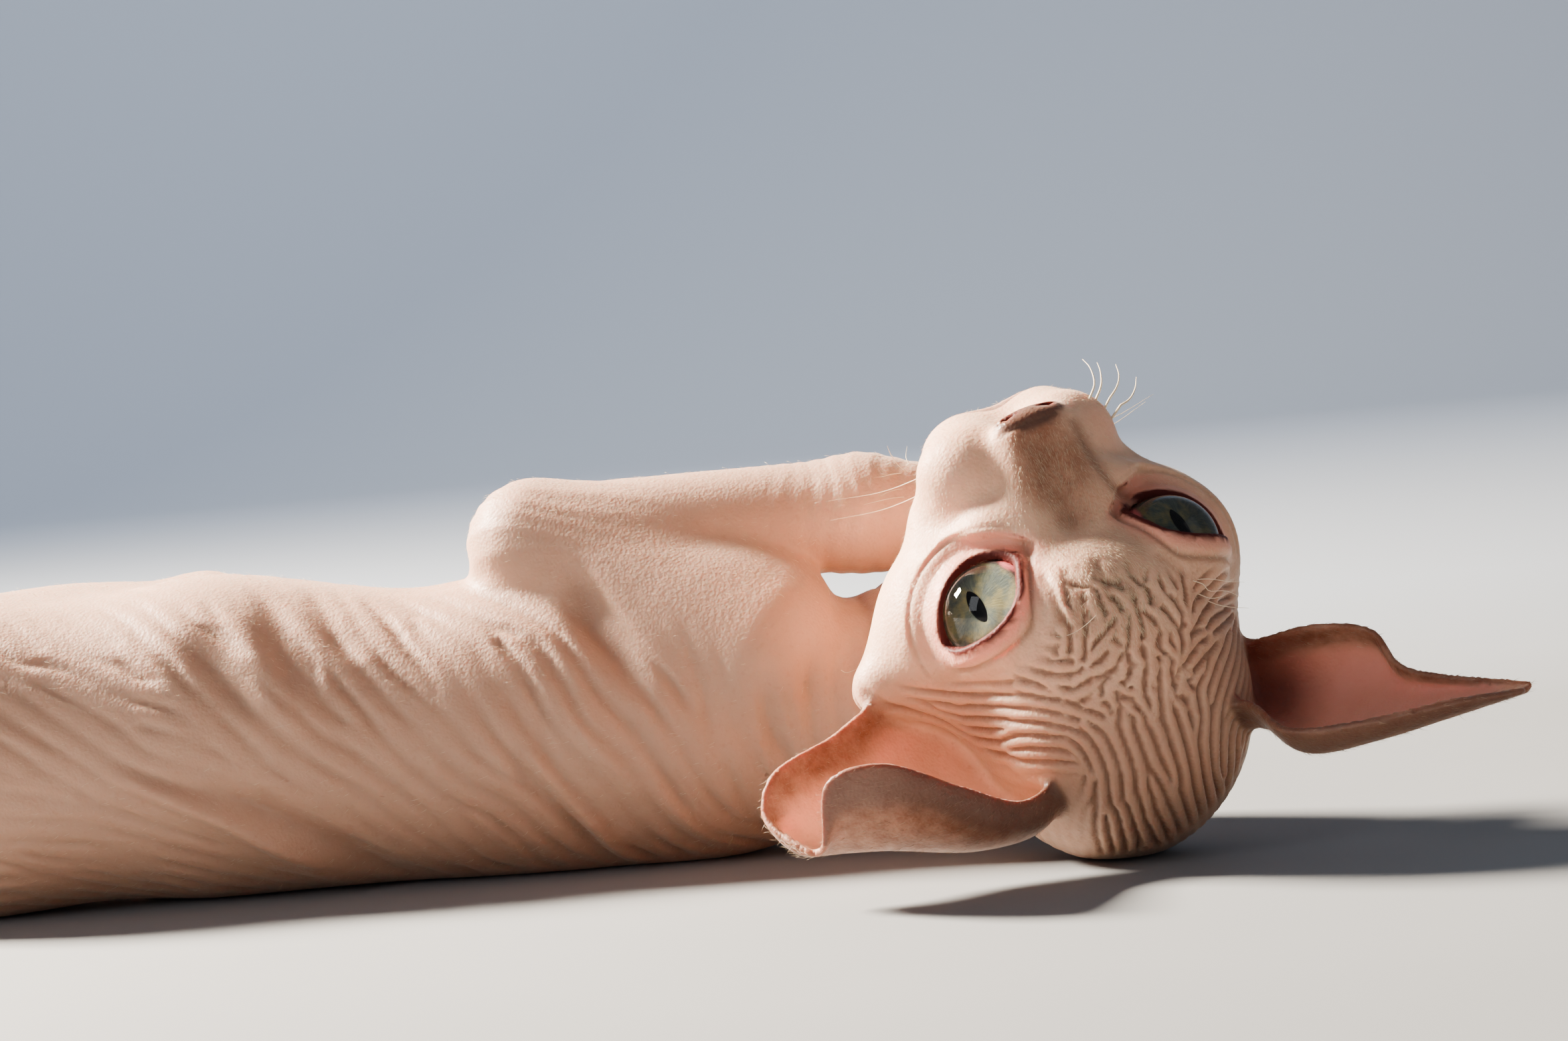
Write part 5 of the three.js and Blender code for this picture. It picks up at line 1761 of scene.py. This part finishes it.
# Whiskers and brow hairs: pixels from root to tip, thickness at the root, how far the tip comes nearer
whiskers = [
    ([(1366, 712), (1352, 700), (1341, 684), (1336, 672)], 0.10, 4),
    ([(1366, 712), (1345, 714), (1328, 718), (1316, 719)], 0.10, 8),
    ([(1368, 748), (1345, 750), (1322, 755), (1301, 760)], 0.11, 8),
    ([(1372, 736), (1352, 737), (1338, 741), (1326, 747)], 0.08, 3),
    ([(1369, 700), (1364, 688), (1366, 672)], 0.08, -4),
    ([(1640, 602), (1648, 578), (1642, 555), (1630, 541)], 0.22, -6),
    ([(1650, 602), (1658, 580), (1657, 560), (1652, 546)], 0.22, -7),
    ([(1668, 604), (1681, 584), (1685, 566), (1680, 549)], 0.22, -8),
    ([(1684, 612), (1700, 602), (1709, 586), (1711, 568)], 0.24, -8),
    ([(1800, 873), (1822, 872), (1850, 876), (1874, 877)], 0.09, 2),
    ([(1794, 874), (1812, 880), (1821, 890), (1846, 890), (1868, 899)], 0.10, 3),
    ([(1803, 894), (1822, 901), (1838, 899), (1850, 893)], 0.09, 3),
    ([(1818, 905), (1838, 912), (1860, 915), (1880, 916)], 0.10, 4),
    ([(1505, 912), (1520, 923), (1535, 932), (1550, 940)], 0.09, 3),
    ([(1578, 948), (1591, 959), (1613, 955), (1634, 942), (1650, 927)], 0.09, 3),
    ([(1770, 818), (1774, 828), (1772, 836)], 0.07, 1),
    ([(1262, 1006), (1274, 1013), (1290, 1008)], 0.09, 3)]


whiskerMake = {"knots": 14, "faceMiddle": (1600, 760), "tries": 30, "tryStep": 90, "sink": 0.5,
               "rootSink": 0.4, "hidden": 0.1, "taper": 0.75}


def whiskerPath(pixels, nearer):
    # the first pixel is followed to the skin, and the others lie at its depth or nearer; where it
    # misses the skin, places nearer the middle of the face are tried
    start = toFrame(view["place"])
    ahead = cameraAxes()[2]
    (across, down), (middle, level) = pixels[0], whiskerMake["faceMiddle"]
    for step in range(whiskerMake["tries"]):
        line = sightLine(across + step * (middle - across) / whiskerMake["tryStep"],
                         down + step * (level - down) / whiskerMake["tryStep"])
        found = skinTree.ray_cast(Vector(start), Vector(line))[0]
        if found:
            break
    if not found:
        return None
    depth = (np.array(found) - start) @ ahead
    path = []
    for index, pixel in enumerate(curveThrough(pixels, whiskerMake["knots"])):
        line = sightLine(*pixel)
        share = index / (whiskerMake["knots"] - 1)
        farther = whiskerMake["sink"] * (1 - share) ** 4 - nearer * share ** 1.5
        path.append(start + line * (depth + farther * mm) / (line @ ahead))
    path[0] = np.array(found) + sightLine(*pixels[0]) * whiskerMake["rootSink"] * mm
    return np.array(path)


def hiddenWhiskers():
    # the far cheek, given its whiskers from the head's own axes
    for side, y, z, lift in [(1, 30, -24, -6), (1, 27, -25, -9), (-1, 31, -25, -8), (-1, 27, -26, -6)]:
        outward = unit(np.array([side, -0.35, lift / 30 - 0.35]))
        start = np.array([side * 12.0 - 1, y, z])
        end = start + outward * 24
        middle = (start + end) / 2 + np.array([0, -2.5, -1.5])
        yield np.array([toFrame(fromHead(p)) for p in curveThrough([start, middle, end], 12)])


threads = [(whiskerPath(pixels, nearer), thick) for pixels, thick, nearer in whiskers]
threads += [(path, whiskerMake["hidden"]) for path in hiddenWhiskers()]
knots, links, sizes, roots = [], [], [], []
for path, thick in threads:
    if path is None:
        continue
    first = len(knots)
    knots += list(path)
    links += [(first + i, first + i + 1) for i in range(len(path) - 1)]
    sizes += [thick * mm * (1 - whiskerMake["taper"] * i / (len(path) - 1)) for i in range(len(path))]
    roots += [path[0]] * len(path)
whiskerPiece = carrierOf("whiskers", knots, links, {
    "size": np.array(sizes), "root": np.array(roots), "tint": np.zeros(len(knots))})
madeReal(whiskerPiece, thread, {threadSockets["paint"]: hairPaint}, ["head"])
for strand in (shortHair, clawShape):
    bpy.data.objects.remove(strand)
print("whiskers set:", len(whiskerPiece.data.polygons), "faces")

# Studio: a pale floor that sweeps up behind, a warm key from the left and behind, and soft fill from
# the front, cool on the left and warm on the right

studio = {"floorFrom": -3.0, "floorTo": 2.4, "curve": 1.2, "wall": 2.5, "half": 5.0,
          "floor": [(0.21, 0.215, 0.225, 1), (0.235, 0.24, 0.25, 1)], "behind": (0.30, 0.33, 0.385, 1),
          "room": (0.74, 0.79, 0.87, 1), "roomLight": 0.24}
# where each light stands and points, its width and height, watts and colour
lights = {
    "keyLight": ((-0.95, 0.40, 0.78), (0.1, -0.03, 0.04), (0.3, 0.3), 270, (1.0, 0.88, 0.72)),
    "windowLight": ((-0.95, -0.95, 0.75), (0.0, -0.03, 0.04), (0.5, 0.8), 4.2, (0.92, 0.95, 1.0)),
    "rightFill": ((1.2, -0.5, 0.8), (0.08, -0.03, 0.04), (0.8, 0.8), 0.7, (1.0, 0.95, 0.9)),
    "backdropLight": ((-0.4, 1.3, 1.7), (0.2, 3.6, 0.9), (2.5, 1.0), 88, (0.86, 0.92, 1.0))}


def makeFloor():
    profile = [(studio["floorFrom"], 0.0)]
    for turn in np.linspace(0, math.pi / 2, 17):
        profile.append((studio["floorTo"] + studio["curve"] * math.sin(turn),
                        studio["curve"] * (1 - math.cos(turn))))
    profile.append((studio["floorTo"] + studio["curve"], studio["curve"] + studio["wall"]))
    places = [(x, y, z) for x in (-studio["half"], studio["half"]) for y, z in profile]
    count = len(profile)
    faces = [(i, i + count, i + count + 1, i + 1) for i in range(count - 1)]
    floor = meshFrom("floor", places, faces)
    paint, tree, surface = newMaterial("paleFloor")
    coordinates = addNode(tree, "ShaderNodeTexCoord").outputs["Object"]
    grain = noise(tree, coordinates, 3.5, 4)
    colour = mixed(tree, spread(tree, grain, 0.35, 0.65), *studio["floor"])
    behind = addNode(tree, "ShaderNodeSeparateXYZ", inputs={"Vector": coordinates}).outputs["Y"]
    colour = mixed(tree, spread(tree, behind, 0.1, 0.5), colour, studio["behind"])
    feed(surface, {"Base Color": colour, "Roughness": 0.75})
    floor.data.materials.append(paint)
    floor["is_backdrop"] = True


def areaLight(name, place, target, size, power, colour):
    light = bpy.data.lights.new(name, "AREA")
    light.shape = "RECTANGLE"
    light.size, light.size_y = size
    light.energy = power
    light.color = colour
    lamp = inScene(name, light)
    lamp.location = place
    lamp.rotation_euler = (Vector(target) - Vector(place)).to_track_quat("-Z", "Y").to_euler()


makeFloor()
for name, settings in lights.items():
    areaLight(name, *settings)
world = bpy.data.worlds.new("softRoom")
bpy.context.scene.world = world
world.use_nodes = True
feed(world.node_tree.nodes["Background"], {"Color": studio["room"], "Strength": studio["roomLight"]})

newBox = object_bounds()
sizes = {"cad": [list(corner) for corner in cadBox], "visual": [list(corner) for corner in newBox]}
print("sizes in mm", [round(float(v) * 1000, 1) for corner in newBox for v in corner])
